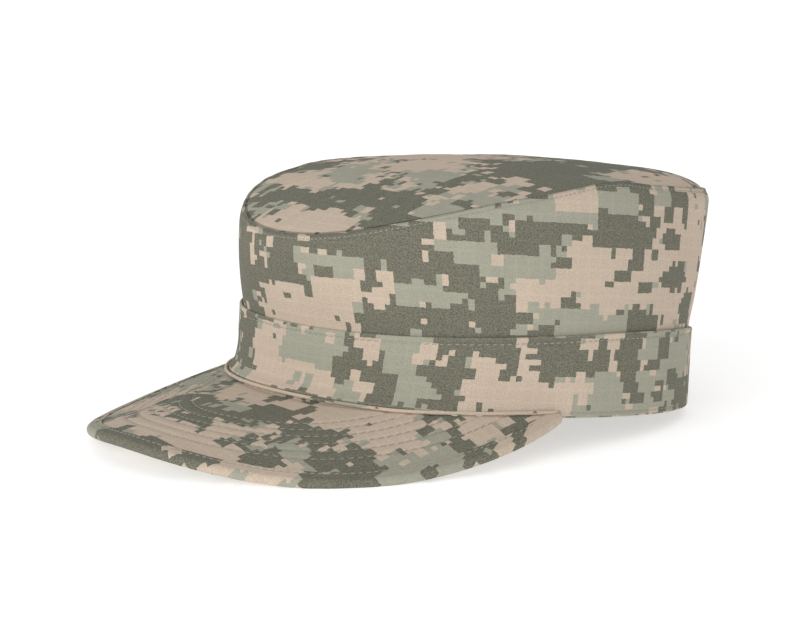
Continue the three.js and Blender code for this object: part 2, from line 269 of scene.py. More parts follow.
def wall_surface(angle, up, over, inset):
    """The wall leans from the band's oval to the crown's, bulges, and rolls in over its shoulder."""
    full_y = CROWN_SHIFT + oval(angle, CROWN_LENGTH / 2, CROWN_WIDTH / 2)[1]
    seam, foot = seam_height(full_y, angle), band_top_height(angle)
    height = mix(foot, seam - SHOULDER_HEIGHT, up) + SHOULDER_HEIGHT * over
    lean = (height - foot) / (seam - foot)
    along = ((full_y - CROWN_SHIFT) / (CROWN_LENGTH / 2)) ** 2
    end_bulge = np.where(full_y < CROWN_SHIFT, WALL_FRONT_BULGE, WALL_REAR_BULGE)
    bulge = 4 * lean * (1 - lean) * mix(WALL_SIDE_BULGE, end_bulge, along)
    turn = over * math.pi / 2
    inside = ((CLOTH + SEAM_GAP) * (1 - lean) - bulge + shoulder_inset(angle) * over ** 2
              + inset * np.cos(turn))
    x, y = oval(angle, mix(BAND_TOP_LENGTH, CROWN_LENGTH, lean) / 2 - inside,
                mix(BAND_TOP_WIDTH, CROWN_WIDTH, lean) / 2 - inside)
    return points(x, y + mix(BAND_TOP_SHIFT, CROWN_SHIFT, lean), height - inset * np.sin(turn))


# %% [markdown]
# The cap rests on its rear hem and on the two drooping corners of the visor, so the whole of it
# is pitched a few degrees, front up. An empty parent could carry that turn, but every piece should
# lie unturned at the origin, so the points themselves are turned. The drop to the floor comes from
# the band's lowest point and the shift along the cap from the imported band.


# %% Where the cap rests
def pitched(shape):
    """The points turned about the X axis by the resting pitch, front up."""
    sine, cosine = math.sin(REST_PITCH), math.cos(REST_PITCH)
    y = shape[..., 1] * cosine + shape[..., 2] * sine
    z = shape[..., 2] * cosine - shape[..., 1] * sine
    return np.stack([shape[..., 0], y, z], -1)


ring_of_band = np.linspace(-math.pi, math.pi, 721)
band_edges = pitched(band_surface(ring_of_band, np.array([[0.0], [1.0]]), 0.0))
FLOOR = band_edges[..., 2].min() + SETTLE
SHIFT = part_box("band")[1].y / MM - band_edges[..., 1].max()


def settled(shape):
    """The points pitched, let down and pressed flat where they would pass through the floor."""
    placed = pitched(shape) + np.array([0.0, SHIFT, -FLOOR])
    placed[..., 2] = np.maximum(placed[..., 2], 0)
    return placed * MM


print("floor at", round(FLOOR, 3), "and shift of", round(SHIFT, 3), "mm")

# %% [markdown]
# Every panel becomes a mesh in the same way. A grid of points is joined into quads, a grid that
# goes all the way round is closed on itself, and a row that has shrunk to one point becomes a
# pole. The signed volume tells whether the faces look inwards, and if so each face is reversed.
# The print coordinates go into a UV map in millimetres of cloth, one pair for each face corner,
# so that the printed pattern keeps its real size and may break at the seam as real cloth does.


# %% From a grid of points to a mesh
def faces_volume(corners, places):
    """The volume closed in by quads: each is two triangles, each a cone to the origin."""
    a, b, c, d = (places[corners[:, side]] for side in range(4))
    return (np.einsum("ij,ij->i", a, np.cross(b, c)) + np.einsum("ij,ij->i", a, np.cross(c, d))).sum()


def mesh_object(name, places, corners, uv, masks):
    """An object from points and quads, faces outwards, with its print map and point masks."""
    if faces_volume(corners, places) < 0:
        corners = corners[:, ::-1]
        uv = None if uv is None else uv[:, ::-1]
    kept = corners != np.roll(corners, 1, axis=1)
    used, loops = np.unique(corners[kept], return_inverse=True)
    counts = kept.sum(1)
    mesh = bpy.data.meshes.new(name)
    mesh.vertices.add(len(used))
    mesh.vertices.foreach_set("co", places[used].astype(np.float32).ravel())
    mesh.loops.add(len(loops))
    mesh.loops.foreach_set("vertex_index", loops.astype(np.int32).ravel())
    mesh.polygons.add(len(counts))
    mesh.polygons.foreach_set("loop_start", (np.cumsum(counts) - counts).astype(np.int32))
    mesh.polygons.foreach_set("use_smooth", np.ones(len(counts), bool))
    mesh.update(calc_edges=True)
    if uv is not None:
        prints = mesh.uv_layers.new(name="print")
        prints.data.foreach_set("uv", uv[kept].astype(np.float32).ravel())
    for title, values in masks.items():
        mask = mesh.attributes.new(title, "FLOAT", "POINT")
        mask.data.foreach_set("value", values.reshape(-1)[used].astype(np.float32))
    piece = bpy.data.objects.new(name, mesh)
    scene.collection.objects.link(piece)
    print(name, "has", int((counts - 2).sum()), "triangles")
    return piece


def end_quads(rows, columns, column):
    """Quads that close one end of a rolled grid by joining each row to its mirror row."""
    row = np.arange(rows // 2 - 1)
    quad = np.stack([row, row + 1, rows - 2 - row, rows - 1 - row], -1)
    quad = quad if column == 0 else quad[:, ::-1]
    return quad * columns + column


def grid_object(name, shape, prints, inside, closed_rows, closed_columns, poles=False, ends=False,
                crease=None):
    """Builds an object from rows and columns of points, with its print map and its masks."""
    rows, columns = shape.shape[:2]
    index = np.arange(rows * columns).reshape(rows, columns)
    if poles:
        index[[0, -1]] = index[[0, -1], :1]
    index = np.pad(index, ((0, int(closed_rows)), (0, int(closed_columns))), mode="wrap")
    sides = (slice(None, -1), slice(None, -1)), (slice(None, -1), slice(1, None))
    sides += (slice(1, None), slice(1, None)), (slice(1, None), slice(None, -1))
    corners = np.stack([index[side] for side in sides], -1).reshape(-1, 4)
    uv = np.stack([prints[side] for side in sides], 2).reshape(-1, 4, 2)
    if ends:
        flat = prints[:rows, :columns].reshape(-1, 2)
        for column in (0, columns - 1):
            quads = end_quads(rows, columns, column)
            corners = np.concatenate([corners, quads])
            uv = np.concatenate([uv, flat[quads]])
    masks = {"inside": inside}
    if crease is not None:
        masks["crease"] = crease
    return mesh_object(name, settled(shape).reshape(-1, 3), corners, uv, masks)


# %% [markdown]
# A panel of cloth is a middle surface with some thickness. The outside and the inside lie half a
# thickness away along the normal, and a half-round rim joins them at each free edge, as the fold
# of a hem does. A Solidify modifier could do this too, but here the stitched valleys are pressed
# into the outside only, which a modifier cannot do. The inside is seldom seen, so it keeps every
# second row. A mask marks the last few tenths of a millimetre before the crown seam, where the
# cloth lies in the shade of the fold.


# %% From a middle surface to a panel with two faces
INNER_STEP = 2
RIM_STEPS = 6
CREASE_WIDTH = 0.4


def normals_of(middle, ring, side):
    """Unit normals of a grid: the cross product of its steps along the columns and the rows."""
    if ring:
        padded = np.concatenate([middle[:, -1:], middle, middle[:, :1]], 1)
        across = padded[:, 2:] - padded[:, :-2]
    else:
        across = np.gradient(middle, axis=1)
    normal = side * np.cross(across, np.gradient(middle, axis=0))
    size = np.linalg.norm(normal, axis=-1, keepdims=True)
    return np.where(size > 1e-9, normal / np.maximum(size, 1e-9), np.array([0.0, 0.0, 1.0]))


def lengths_down(middle):
    """Distance run along each column of a grid, from its first row."""
    steps = np.linalg.norm(np.diff(middle, axis=0), axis=-1)
    return np.concatenate([np.zeros((1, middle.shape[1])), np.cumsum(steps, axis=0)])


def rim(outer, inner, outwards, steps):
    """Rows of a half circle from the outer edge to the inner edge, bulging outwards."""
    centre, half = (outer + inner) / 2, (outer - inner) / 2
    size = np.linalg.norm(half, axis=-1, keepdims=True)
    outwards = outwards / np.maximum(np.linalg.norm(outwards, axis=-1, keepdims=True), 1e-9)
    turn = (math.pi * (np.arange(steps) + 1) / (steps + 1))[:, None, None]
    return centre + half * np.cos(turn) + outwards * size * np.sin(turn)


def rolled(outer, inner, steps):
    """One closed loop of rows round a panel, starting in the middle of its first rim."""
    far = rim(outer[-1], inner[-1], outer[-1] - outer[-2], steps)
    near = rim(inner[0], outer[0], outer[0] - outer[1], steps)
    half = steps // 2
    return np.concatenate([near[half:], outer, far, inner[::-1], near[:half]])


def rolled_print(v_outer, v_inner, reach, steps):
    """The print's second coordinate and the inside mask for the rows that rolled makes."""
    half = steps // 2
    share = (np.arange(steps) + 1) / (steps + 1)
    bow = (reach * np.minimum(share, 1 - share) * math.pi)[:, None]
    near, far = v_outer[:1] - bow, v_outer[-1:] + bow
    v = np.concatenate([near[half:], v_outer, far, v_inner[::-1], near[:half]])
    ones = np.ones((1, v_outer.shape[1]))
    mask = np.concatenate([(1 - share[half:])[:, None] * ones, 0 * v_outer, share[:, None] * ones,
                           0 * v_inner + 1, (1 - share[:half])[:, None] * ones])
    return v, mask


def ring_panel(name, middle, along, start, relief, form, crease=0.0):
    """A panel that goes round the cap. Returns the object and its outside, normals and lengths."""
    normal = normals_of(middle, True, 1)
    middle = middle + normal * form[..., None]
    outer = middle + normal * (CLOTH / 2 + relief)[..., None]
    inner = middle - normal * (CLOTH / 2)
    run = lengths_down(middle)
    kept = np.unique(np.append(np.arange(0, len(middle), INNER_STEP), len(middle) - 1))
    v, mask = rolled_print(run + start, (run + start)[kept], CLOTH / 2, RIM_STEPS)
    shape = rolled(outer, inner[kept], RIM_STEPS)
    shade = crease * np.exp(-(np.maximum(run[-1] + start - v, 0) / CREASE_WIDTH) ** 2)
    v = np.pad(v, ((0, 1), (0, 1)), mode="wrap")
    u = np.broadcast_to(along, v.shape)
    piece = grid_object(name, shape, np.stack([u, v], -1), mask, True, True, crease=shade)
    return piece, outer, normal, run


# %% [markdown]
# The print runs round the cap from the middle of the front, in millimetres of cloth. The same
# distance serves the wall and the band, because both are measured on the oval of the band's
# fold. The seam where the two ends of each panel meet is at the middle of the back.

# %% Distance round the cap
RING_COLUMNS = 600
angles = np.linspace(-math.pi, math.pi, RING_COLUMNS + 1)
fold_line = band_surface(angles, np.array([[1.0]]), 0.0)[0]
fold_steps = np.linalg.norm(np.diff(fold_line, axis=0), axis=-1)
around = np.concatenate([[0.0], np.cumsum(fold_steps)])
around = around - around[RING_COLUMNS // 2]
ring = angles[:-1]
print("distance round the fold:", round(float(fold_steps.sum()), 1), "mm")

# %% [markdown]
# The band is a doubled strip that is folded up round the wall. Its fold is at the top, with a
# row of topstitching just below it and another just above the hem. Between the fold and its
# stitches the cloth stands a little fuller, and the thread presses a narrow valley into it.

# %% The band
FOLD_ROW, HEM_ROW = 2.5, 2.1
ROW_DEPTH, ROW_WIDTH = 0.3, 0.6
FOLD_FULLNESS = 0.16
BAND_UNEVENNESS = 0.28
HEM_ROW_START = 0.05

up = spaced((0.023, 0.14, 18), (0.14, 0.86, 28), (0.86, 0.979, 20))[:, None]
band_rise = up * (band_top_height(ring) - hem_height(ring))
from_fold = band_rise / up - band_rise
beside_visor = np.clip((np.abs(ring) - VISOR_ROOT_ANGLE) / HEM_ROW_START, 0, 1)
band_relief = (groove(from_fold - FOLD_ROW, ROW_DEPTH, ROW_WIDTH)
               + groove(band_rise - HEM_ROW, ROW_DEPTH, ROW_WIDTH) * beside_visor
               + FOLD_FULLNESS * np.exp(-((from_fold - FOLD_ROW / 2) / FOLD_ROW) ** 2))
band_form = BAND_UNEVENNESS * ring_waves(ring, band_rise, 3, (7, 11, 18, 27)) * np.sin(math.pi * up)
band_cloth, band_out, band_normal, _ = ring_panel(
    "band_cloth", band_surface(ring, up, CLOTH / 2), around, 0.0, band_relief, band_form)

# %% [markdown]
# The wall starts inside the band, just above the hem, and ends at the crown seam, where its edge
# rolls in. The seam gathers it a little, so short puckers run down from the seam and die out.
# They stand highest near the front, where the seam turns sharply and begins to climb. Where the
# band covers it the wall keeps its plain form, so that the two cloths do not meet.

# %% The side wall
SEAM_ROW = 2.0
PUCKER_HEIGHT, PUCKER_REACH = 0.13, 7.0
GATHER_HEIGHT, GATHER_ANGLE, GATHER_WIDTH = 0.9, -0.25, 0.3
WALL_UNEVENNESS = 0.5
BAND_CALM, SEAM_CALM = 12.0, 9.0
WALL_CREASE = 0.5
EASING_PASSES = 4


def eased(middle, passes):
    """Rows averaged with their neighbours a few times, which rounds off a kink in a profile."""
    for _ in range(passes):
        middle[1:-1] = (middle[:-2] + 2 * middle[1:-1] + middle[2:]) / 4
    return middle


behind = np.linspace(0.08, 0.93, 12)[:, None]
climb = spaced((0.02, 0.9, 46), (0.9, 1.0, 8))[:, None]
shoulder = spaced((0.06, 0.93, 24))[:, None]
wall_middle = eased(np.concatenate([
    band_surface(ring, behind, CLOTH * 1.5 + SEAM_GAP),
    wall_surface(ring, climb, 0.0, CLOTH / 2),
    wall_surface(ring, 1.0, shoulder, CLOTH / 2),
]), EASING_PASSES)
wall_run = lengths_down(wall_middle)
from_seam = wall_run[-1] - wall_run + CLOTH / 2
above_fold = wall_run - wall_run[len(behind)]
wall_free = np.clip(above_fold / BAND_CALM, 0, 1) ** 2 * (1 - np.exp(-(from_seam / SEAM_CALM) ** 2))
wall_form = WALL_UNEVENNESS * ring_waves(ring, above_fold, 8, (6, 9, 13, 19, 26)) * wall_free
gathered = PUCKER_HEIGHT + GATHER_HEIGHT * np.exp(-((ring - GATHER_ANGLE) / GATHER_WIDTH) ** 2)
pucker = (gathered * ring_waves(ring, from_seam * 0, 21, (37, 45, 58))
          * np.exp(-from_seam / PUCKER_REACH))
wall_relief = groove(from_seam - SEAM_ROW, ROW_DEPTH, ROW_WIDTH) + pucker * (above_fold > 0)
side_wall_cloth, wall_out, wall_normal, wall_run = ring_panel(
    "side_wall_cloth", wall_middle, around, WALL_HEM_LIFT, wall_relief, wall_form, WALL_CREASE)

# %% [markdown]
# The top is an oval of cloth. A disc could be scaled from a circle, but here each ring is the
# crown's own oval, smaller by a share, lifted by the swell. At the seam the cloth turns down over
# a small radius and hangs inside the wall as a seam allowance, which also closes the seam
# against the light. Faint folds are dragged from the seam towards the middle, where a pole closes
# each face.

# %% The top
TURN_RADIUS = 0.1
EDGE_SINK, SEAM_SHADE = 1.2, 0.3
ALLOWANCE = 6.0
REAR_START, REAR_FULL = 14.0, 66.0
TOP_UNEVENNESS, TOP_CALM = 0.55, 10.0
TOP_RIM_STEPS = 4
DRAG_HEIGHT, FRONT_DRAG_HEIGHT, DRAG_REACH = 0.22, 0.26, 14.0

flap_inset = shoulder_inset(ring) + CLOTH / 2 + SEAM_SHADE
rings_out = spaced((0.0, 0.86, 34), (0.86, 1.0, 24))[:, None]
turning = np.linspace(0, math.pi / 2, 8)[1:, None]
hanging = np.linspace(0, ALLOWANCE, 8)[1:, None]
half_length = CROWN_LENGTH / 2 - flap_inset - TURN_RADIUS
half_width = CROWN_WIDTH / 2 - flap_inset - TURN_RADIUS


def top_rows():
    """Rings of the flat, then the turn down over a quarter circle, then the hanging edge."""
    edge_x, edge_y = oval(ring, half_length, half_width)
    flat_y = CROWN_SHIFT + edge_y * rings_out
    rear = np.clip((flat_y - REAR_START) / (REAR_FULL - REAR_START), 0, 1)
    rear = rear ** 2 * (3 - 2 * rear)
    swell = mix(TOP_SWELL, REAR_SWELL, rear) * (1 - rings_out ** 2) ** TOP_SWELL_POWER
    swell = swell + REAR_PILLOW * rear * np.sqrt(1 - rings_out ** PILLOW_POWER) - EDGE_SINK
    height = seam_height(flat_y, ring, rings_out ** 4)
    flat = points(edge_x * rings_out, flat_y, height + swell - CLOTH / 2)
    seam = seam_height(CROWN_SHIFT + edge_y, ring) - EDGE_SINK - CLOTH / 2 - TURN_RADIUS
    bent_x, bent_y = oval(ring, half_length + TURN_RADIUS * np.sin(turning),
                          half_width + TURN_RADIUS * np.sin(turning))
    bent = points(bent_x, CROWN_SHIFT + bent_y, seam + TURN_RADIUS * np.cos(turning))
    last_x, last_y = oval(ring, half_length + TURN_RADIUS, half_width + TURN_RADIUS)
    hung = points(last_x, CROWN_SHIFT + last_y, seam - hanging)
    return np.concatenate([flat, bent, hung])


top_middle = top_rows()
top_run = lengths_down(top_middle)
flat_rows = len(rings_out)
to_edge = np.maximum(top_run[flat_rows - 1] - top_run, 0)
top_free = 1 - np.exp(-(to_edge / TOP_CALM) ** 2)
front_pull = np.maximum(0, np.cos(ring)) ** 3
drag = ((DRAG_HEIGHT + FRONT_DRAG_HEIGHT * front_pull)
        * ring_waves(ring, to_edge * 0, 12, (31, 43, 52)) * (to_edge > 0)
        * (to_edge / DRAG_REACH) * np.exp(1 - to_edge / DRAG_REACH))
top_form = TOP_UNEVENNESS * plane_waves(
    top_middle[..., 0], top_middle[..., 1], 4, (58, 41, 33, 76)) * top_free + drag
top_form[flat_rows:] = 0


def top_panel():
    """The two faces of the top: outside from the middle to the hem, then back along the inside."""
    normal = normals_of(top_middle, True, -1)
    normal[0] = (0, 0, 1)
    middle = top_middle + normal * top_form[..., None]
    outer = middle + normal * CLOTH / 2
    inner = (middle - normal * CLOTH / 2)[::INNER_STEP]
    edge = rim(outer[-1], inner[-1], outer[-1] - outer[-2], TOP_RIM_STEPS)
    shape = np.concatenate([outer, edge, inner[::-1]])
    mask = np.concatenate([0 * outer[..., 0], 0 * edge[..., 0] + 0.5, 0 * inner[..., 0] + 1])
    prints = np.pad(shape[..., :2], ((0, 0), (0, 1), (0, 0)), mode="wrap")
    shade = np.zeros(mask.shape)
    shade[:len(outer)] = np.exp(-(to_edge / CREASE_WIDTH) ** 2)
    return grid_object("crown_top_cloth", shape, prints, mask, False, True, poles=True, crease=shade)


crown_top_cloth = top_panel()

# %% [markdown]
# The visor is worked out on rays that start at the hem and end in the middle of its rounded
# edge. The edge itself is a formula: wide at the sides, drooping towards the corners and tucked
# under the hem at both tips. Rays at even steps along the edge keep the cloth evenly divided.


# %% The edge of the visor and the rays across it
def visor_edge(turn):
    """The edge's middle, from turn -1 at one tip to 1 at the other, by sines and powers."""
    angle = turn * math.pi / 2
    root_x, root_y = oval(VISOR_ROOT_ANGLE, HEM_LENGTH / 2 + VISOR_END_STAND,
                          HEM_WIDTH / 2 + VISOR_END_STAND)
    front = -HEM_LENGTH / 2 - VISOR_REACH + EDGE_THICKNESS / 2
    bend = np.sin(2 * angle)
    x = root_x * signed_power(np.sin(angle), VISOR_SIDE_POWER) + VISOR_SIDE_SWELL * bend
    y = root_y + (front - root_y) * np.abs(np.cos(angle)) ** VISOR_FRONT_POWER
    z = (VISOR_EDGE_HEIGHT + VISOR_PITCH * (y + HEM_LENGTH / 2)
         - VISOR_DROOP * np.abs(x / root_x) ** VISOR_DROOP_POWER - VISOR_CORNER_DROP * bend ** 2
         - VISOR_END_TUCK * np.abs(np.sin(angle)) ** VISOR_TUCK_POWER)
    return points(x, y, z)


def root_height(x, y):
    """Height of the visor's top at the band, by how far the hem has turned from the front."""
    wide = np.abs(x / (HEM_WIDTH / 2)) ** (OVAL_SQUARENESS / 2)
    long = signed_power(-y / (HEM_LENGTH / 2), OVAL_SQUARENESS / 2)
    bow = 1 - np.cos(np.arctan2(wide, long))
    return VISOR_ROOT_HEIGHT + VISOR_ROOT_RISE * bow - VISOR_ROOT_FLATTEN * bow ** 2


def rays_at(turn):
    """Directions, starts, widths and heights of the rays to the edge at these turns."""
    edge = visor_edge(turn)
    reach = np.hypot(edge[:, 0], edge[:, 1])
    along = edge[:, :2] / reach[:, None]
    hem = (np.abs(along[:, 0] / (HEM_WIDTH / 2)) ** OVAL_SQUARENESS
           + np.abs(along[:, 1] / (HEM_LENGTH / 2)) ** OVAL_SQUARENESS) ** (-1 / OVAL_SQUARENESS)
    tangent = visor_edge(turn * 0.999 + 0.0005)[:, :2] - visor_edge(turn * 0.999 - 0.0005)[:, :2]
    tangent = tangent / np.linalg.norm(tangent, axis=1)[:, None]
    square = np.sqrt(1 - (tangent * along).sum(1) ** 2)
    start = hem + SEAM_GAP
    return {"edge": edge, "along": along, "start": start, "width": reach - start,
            "square": square, "root": root_height(edge[:, 0], edge[:, 1])}


def visor_point(rays, out, drop):
    """A place on the rays, out from the band and below the finished top, which crowns a little."""
    share = out / rays["width"]
    radius = rays["start"] + out
    crown = VISOR_CROWN * (rays["width"] / VISOR_REACH) ** 2
    top = mix(rays["root"], rays["edge"][:, 2] + EDGE_THICKNESS / 2, share)
    z = top + crown * 4 * share * (1 - share) - drop
    return points(rays["along"][:, 0] * radius, rays["along"][:, 1] * radius, z)


def binding_start(rays):
    """Where the binding's leaf ends on each ray, counted from the band."""
    leaf = (BINDING_WIDTH - EDGE_THICKNESS / 2) / rays["square"]
    return np.maximum(SEAM_GAP, rays["width"] - leaf)


# %% Even steps along the edge
VISOR_COLUMNS = 520
fine_turn = np.linspace(-1, 1, 4001)
fine_edge = visor_edge(fine_turn)
edge_run = np.concatenate([[0.0], np.cumsum(np.linalg.norm(np.diff(fine_edge, axis=0), axis=1))])
edge_length = edge_run[-1]
turns = np.interp(np.linspace(0, edge_length, VISOR_COLUMNS), edge_run, fine_turn)
rays = rays_at(turns)
print("edge of the visor:", round(float(edge_length), 1), "mm long")

# %% [markdown]
# The visor is quilted: rows of stitches follow its edge, a few millimetres apart, until the band
# cuts them off. A row is an even distance from the edge, so each point of the plate only needs
# its distance to the nearest point of the edge, and a valley goes wherever that distance is one
# of the rows. Relief of any kind fades where the visor narrows to its tips and has no room for it.

# %% The quilting rows
BINDING_ROW = 4.6
FIRST_QUILT_ROW, QUILT_SPACING = 12.8, 5.3
QUILT_ROWS = FIRST_QUILT_ROW + QUILT_SPACING * np.arange(6)
QUILT_DEPTH, QUILT_WIDTH = 0.42, 0.8
QUILT_ROOM, RIPPLE_ROOM = (12, 0.2), (10, 0.3)


def edge_distance(x, y):
    """Distance in plan from each point to the nearest of many points along the edge."""
    nearest = [np.hypot(row_x[:, None] - fine_edge[::4, 0], row_y[:, None] - fine_edge[::4, 1]).min(1)
               for row_x, row_y in zip(x, y)]
    return np.array(nearest)


def quilted(distance):
    """The sum of the valleys of all quilting rows."""
    return sum(groove(distance - row, QUILT_DEPTH, QUILT_WIDTH) for row in QUILT_ROWS)


def room_for(width, full, start):
    """The width over a full width, less a start, kept between nought and one."""
    return np.clip(width / full - start, 0, 1)


# %% The visor plate
VISOR_UNEVENNESS = 0.22
STEP_LENGTH = 0.6
PLATE_ROWS = 84
ALLOWANCE_THICKNESS, ALLOWANCE_RISE = 1.1, 1.2
LEAST_ROOM, CORNER_LIFT = 0.02, 0.1
OTHER_PLACE = 400.0


def plate_points(found, out, drop, sign):
    """Places on a face of the plate: its plain form, soft waves and the pressed rows."""
    flat = visor_point(found, out, 0.0)
    x, y = np.atleast_2d(flat[..., 0]), np.atleast_2d(flat[..., 1])
    relief = quilted(edge_distance(x, y)).reshape(flat.shape[:-1])
    waves = VISOR_UNEVENNESS * plane_waves(flat[..., 0], flat[..., 1], 6, (34, 47, 62, 25))
    share = np.clip(out / found["width"], 0, 1)
    room = room_for(found["width"], *QUILT_ROOM)
    flat[..., 2] += (waves * share * (1 - share) * 4 + sign * relief) * room - drop
    return flat


def turned_in(root, inwards):
    """Two rows under the band, the upper one raised behind it, where the root lies low enough."""
    along, hem = rays["along"], rays["start"] - SEAM_GAP
    rise = hem_height(np.arctan2(along[:, 0], -along[:, 1])) - rays["root"]
    room = np.clip(rise, LEAST_ROOM, 1)
    radius = hem + SEAM_GAP - room * (SEAM_GAP + inwards)
    corner = points(along[:, 0] * radius, along[:, 1] * radius, root[:, 2] + room * CORNER_LIFT)
    raised = corner.copy()
    raised[:, 2] = mix(root[:, 2], rays["root"] + rise + ALLOWANCE_RISE, room)
    return np.stack([raised, corner])


def plate_face(drop, tongue_drop, sign, inwards):
    """One face: the turned-in root, the quilted plate, then a thinner tongue in the binding."""
    near = binding_start(rays) - SEAM_GAP
    bare = np.maximum(0, near - STEP_LENGTH)
    quilt = plate_points(rays, bare * np.linspace(0, 1, PLATE_ROWS)[:, None], drop, sign)
    tongue = [visor_point(rays, mix(near, rays["width"], far), tongue_drop)[None] for far in (0, 1)]
    return np.concatenate([turned_in(quilt[0], inwards), quilt, *tongue])


tongue_drop = BINDING_CLOTH + SEAM_GAP
behind_band = CLOTH + SEAM_GAP / 2
plate_shape = np.concatenate([
    plate_face(BINDING_STAND, tongue_drop, 1, behind_band),
    plate_face(EDGE_THICKNESS - BINDING_STAND, EDGE_THICKNESS - tongue_drop, -1,
               behind_band + ALLOWANCE_THICKNESS)[::-1],
])
plate_print = plate_shape[..., :2].copy()
plate_print[len(plate_shape) // 2:] += OTHER_PLACE
visor_cloth = grid_object(
    "visor_cloth", plate_shape, np.pad(plate_print, ((0, 1), (0, 0), (0, 0)), mode="wrap"),
    np.zeros(plate_shape.shape[:2]), True, False, ends=True)

# %% [markdown]
# The edge is bound with a strip that was cut on the slant and folded over it: a leaf on top, a
# half-round bend and a leaf below. A strip like this ripples a little between its stitches. Its
# section is carried along the edge of the visor, ray by ray.

# %% The binding
LEAF_STEPS, BEND_STEPS, BINDING_RIM_STEPS = 14, 14, 4
LEAF_ROW = BINDING_WIDTH - BINDING_ROW
LEAF_DEPTH, LEAF_WIDTH = 0.2, 0.5
RIPPLE_HEIGHT, RIPPLE_REACH = 0.13, 2.2


def binding_middle():
    """The middle of the strip: out along the top, round a half circle and back underneath."""
    near, half = binding_start(rays), EDGE_THICKNESS / 2
    shares = np.linspace(0, 1, LEAF_STEPS)[:, None]
    upper = visor_point(rays, mix(near, rays["width"], shares), BINDING_CLOTH / 2)
    lower = visor_point(rays, mix(near, rays["width"], shares), EDGE_THICKNESS - BINDING_CLOTH / 2)
    turn = (math.pi * np.arange(1, BEND_STEPS) / BEND_STEPS)[:, None]
    radius = half - BINDING_CLOTH / 2
    centre = visor_point(rays, rays["width"], half)
    out = radius * np.sin(turn)
    bend = centre + points(rays["along"][:, 0] * out, rays["along"][:, 1] * out, radius * np.cos(turn))
    return np.concatenate([upper, bend, lower[::-1]])


def binding_panel():
    """The strip with its thickness, rippled towards its stitched edges."""
    middle = binding_middle()
    normal = normals_of(middle, False, -1)
    run = lengths_down(middle)
    from_edge = np.minimum(run, run[-1] - run)
    along = np.interp(turns, fine_turn, edge_run)
    ripple = RIPPLE_HEIGHT * plane_waves(along, 0 * along, 9, (5.3, 7.9, 11.0))
    room = room_for(rays["width"], *RIPPLE_ROOM)
    relief = (ripple * np.exp(-from_edge / RIPPLE_REACH)
              + groove(from_edge - LEAF_ROW, LEAF_DEPTH, LEAF_WIDTH)) * room
    half = BINDING_CLOTH / 2
    outer = middle + normal * (half + relief)[..., None]
    inner = middle - normal * half
    v, mask = rolled_print(run, run, half, BINDING_RIM_STEPS)
    v = np.pad(v, ((0, 1), (0, 0)), mode="wrap")
    prints = np.stack([np.broadcast_to(along, v.shape), v], -1)
    shape = rolled(outer, inner, BINDING_RIM_STEPS)
    piece = grid_object("visor_binding_cloth", shape, prints, mask * 0, True, False, ends=True)
    return piece, outer, normal, run


visor_binding_cloth, binding_out, binding_normal, binding_run = binding_panel()

# %% [markdown]
# A thin roll of the same cloth lies in the corner between the band and the visor. It is a tube:
# a circle carried along the rays' inner ends, drawn together to a point at both tips.

# %% The roll
ROLL_SIDES = 16
ROLL_UNEVENNESS = 0.07
ROLL_SHOWN = 1.5
ROLL_TUCK, ROLL_LIFT = 0.55, 0.2


def roll_middle():
    """The roll's centre: a radius out from the band, or lifted and tucked under its hem in front."""
    hem = hem_height(np.arctan2(rays["along"][:, 0], -rays["along"][:, 1]))
    low = np.clip((hem - rays["root"]) / ROLL_SHOWN, 0, 1)
    centre = visor_point(rays, ROLL_SHOWN / 2 - SEAM_GAP - ROLL_TUCK * low, BINDING_STAND)
    seat = np.maximum(rays["root"] - BINDING_STAND, centre[:, 2]) + ROLL_SHOWN / 2
    centre[:, 2] = np.maximum(seat, mix(seat, hem + ROLL_LIFT - ROLL_SHOWN / 2, low))
    return centre


def roll_tube():
    """The tube round the centre line, a little uneven, closed by a pole at each tip."""
    centre = roll_middle()
    run = lengths_down(centre[:, None])[:, 0]
    taper = np.sqrt(np.clip(np.minimum(run, run[-1] - run) / ROLL_SHOWN, 0, 1))
    lumps = 1 + ROLL_UNEVENNESS * plane_waves(run, 0 * run, 5, (6.0, 9.5, 14.0))
    radius = (ROLL_SHOWN / 2 * taper * lumps)[:, None]
    turn = 2 * math.pi * np.arange(ROLL_SIDES) / ROLL_SIDES
    out = radius * np.cos(turn)
    shape = centre[:, None] + points(rays["along"][:, :1] * out, rays["along"][:, 1:] * out,
                                     radius * np.sin(turn))
    girth = np.append(turn, 2 * math.pi) * ROLL_SHOWN / 2
    prints = points(run[:, None], girth[None, :], 0)[..., :2]
    return grid_object("visor_piping_cloth", shape, prints, np.zeros(shape.shape[:2]),
                       False, True, poles=True)


visor_piping_cloth = roll_tube()

# %% [markdown]
# The stitches are real thread, each one a short capsule that dives into the cloth at both ends.
# An instance on a curve would work, but one array of a few dozen template points, turned and
# moved to every stitch at once, makes a whole row as a single light mesh. A row starts as a line
# on the cloth, is walked at an even pitch, and takes its direction and its normal from there.


# %% Rows of stitches
CROWN_PITCH, BAND_PITCH, QUILT_PITCH = 2.2, 2.9, 3.5
STITCH_PAUSE = 0.6
THREAD_RADIUS, STITCH_LIFT, STITCH_SLANT = 0.18, 0.12, 0.13
THREAD_SIDES, STITCH_RINGS = 6, (-0.5, -0.42, -0.22, 0.0, 0.22, 0.42, 0.5)
STITCH_DIVE = 1.2 * THREAD_RADIUS
LOOK_AROUND = 0.5


def traced(grid, measure, value):
    """The points of a grid where a measure that grows down each column reaches a value."""
    row = np.clip((measure < value).sum(0) - 1, 0, len(measure) - 2)
    column = np.arange(measure.shape[1])
    low, high = measure[row, column], measure[row + 1, column]
    share = ((value - low) / (high - low))[:, None]
    return mix(grid[row, column], grid[row + 1, column], share)


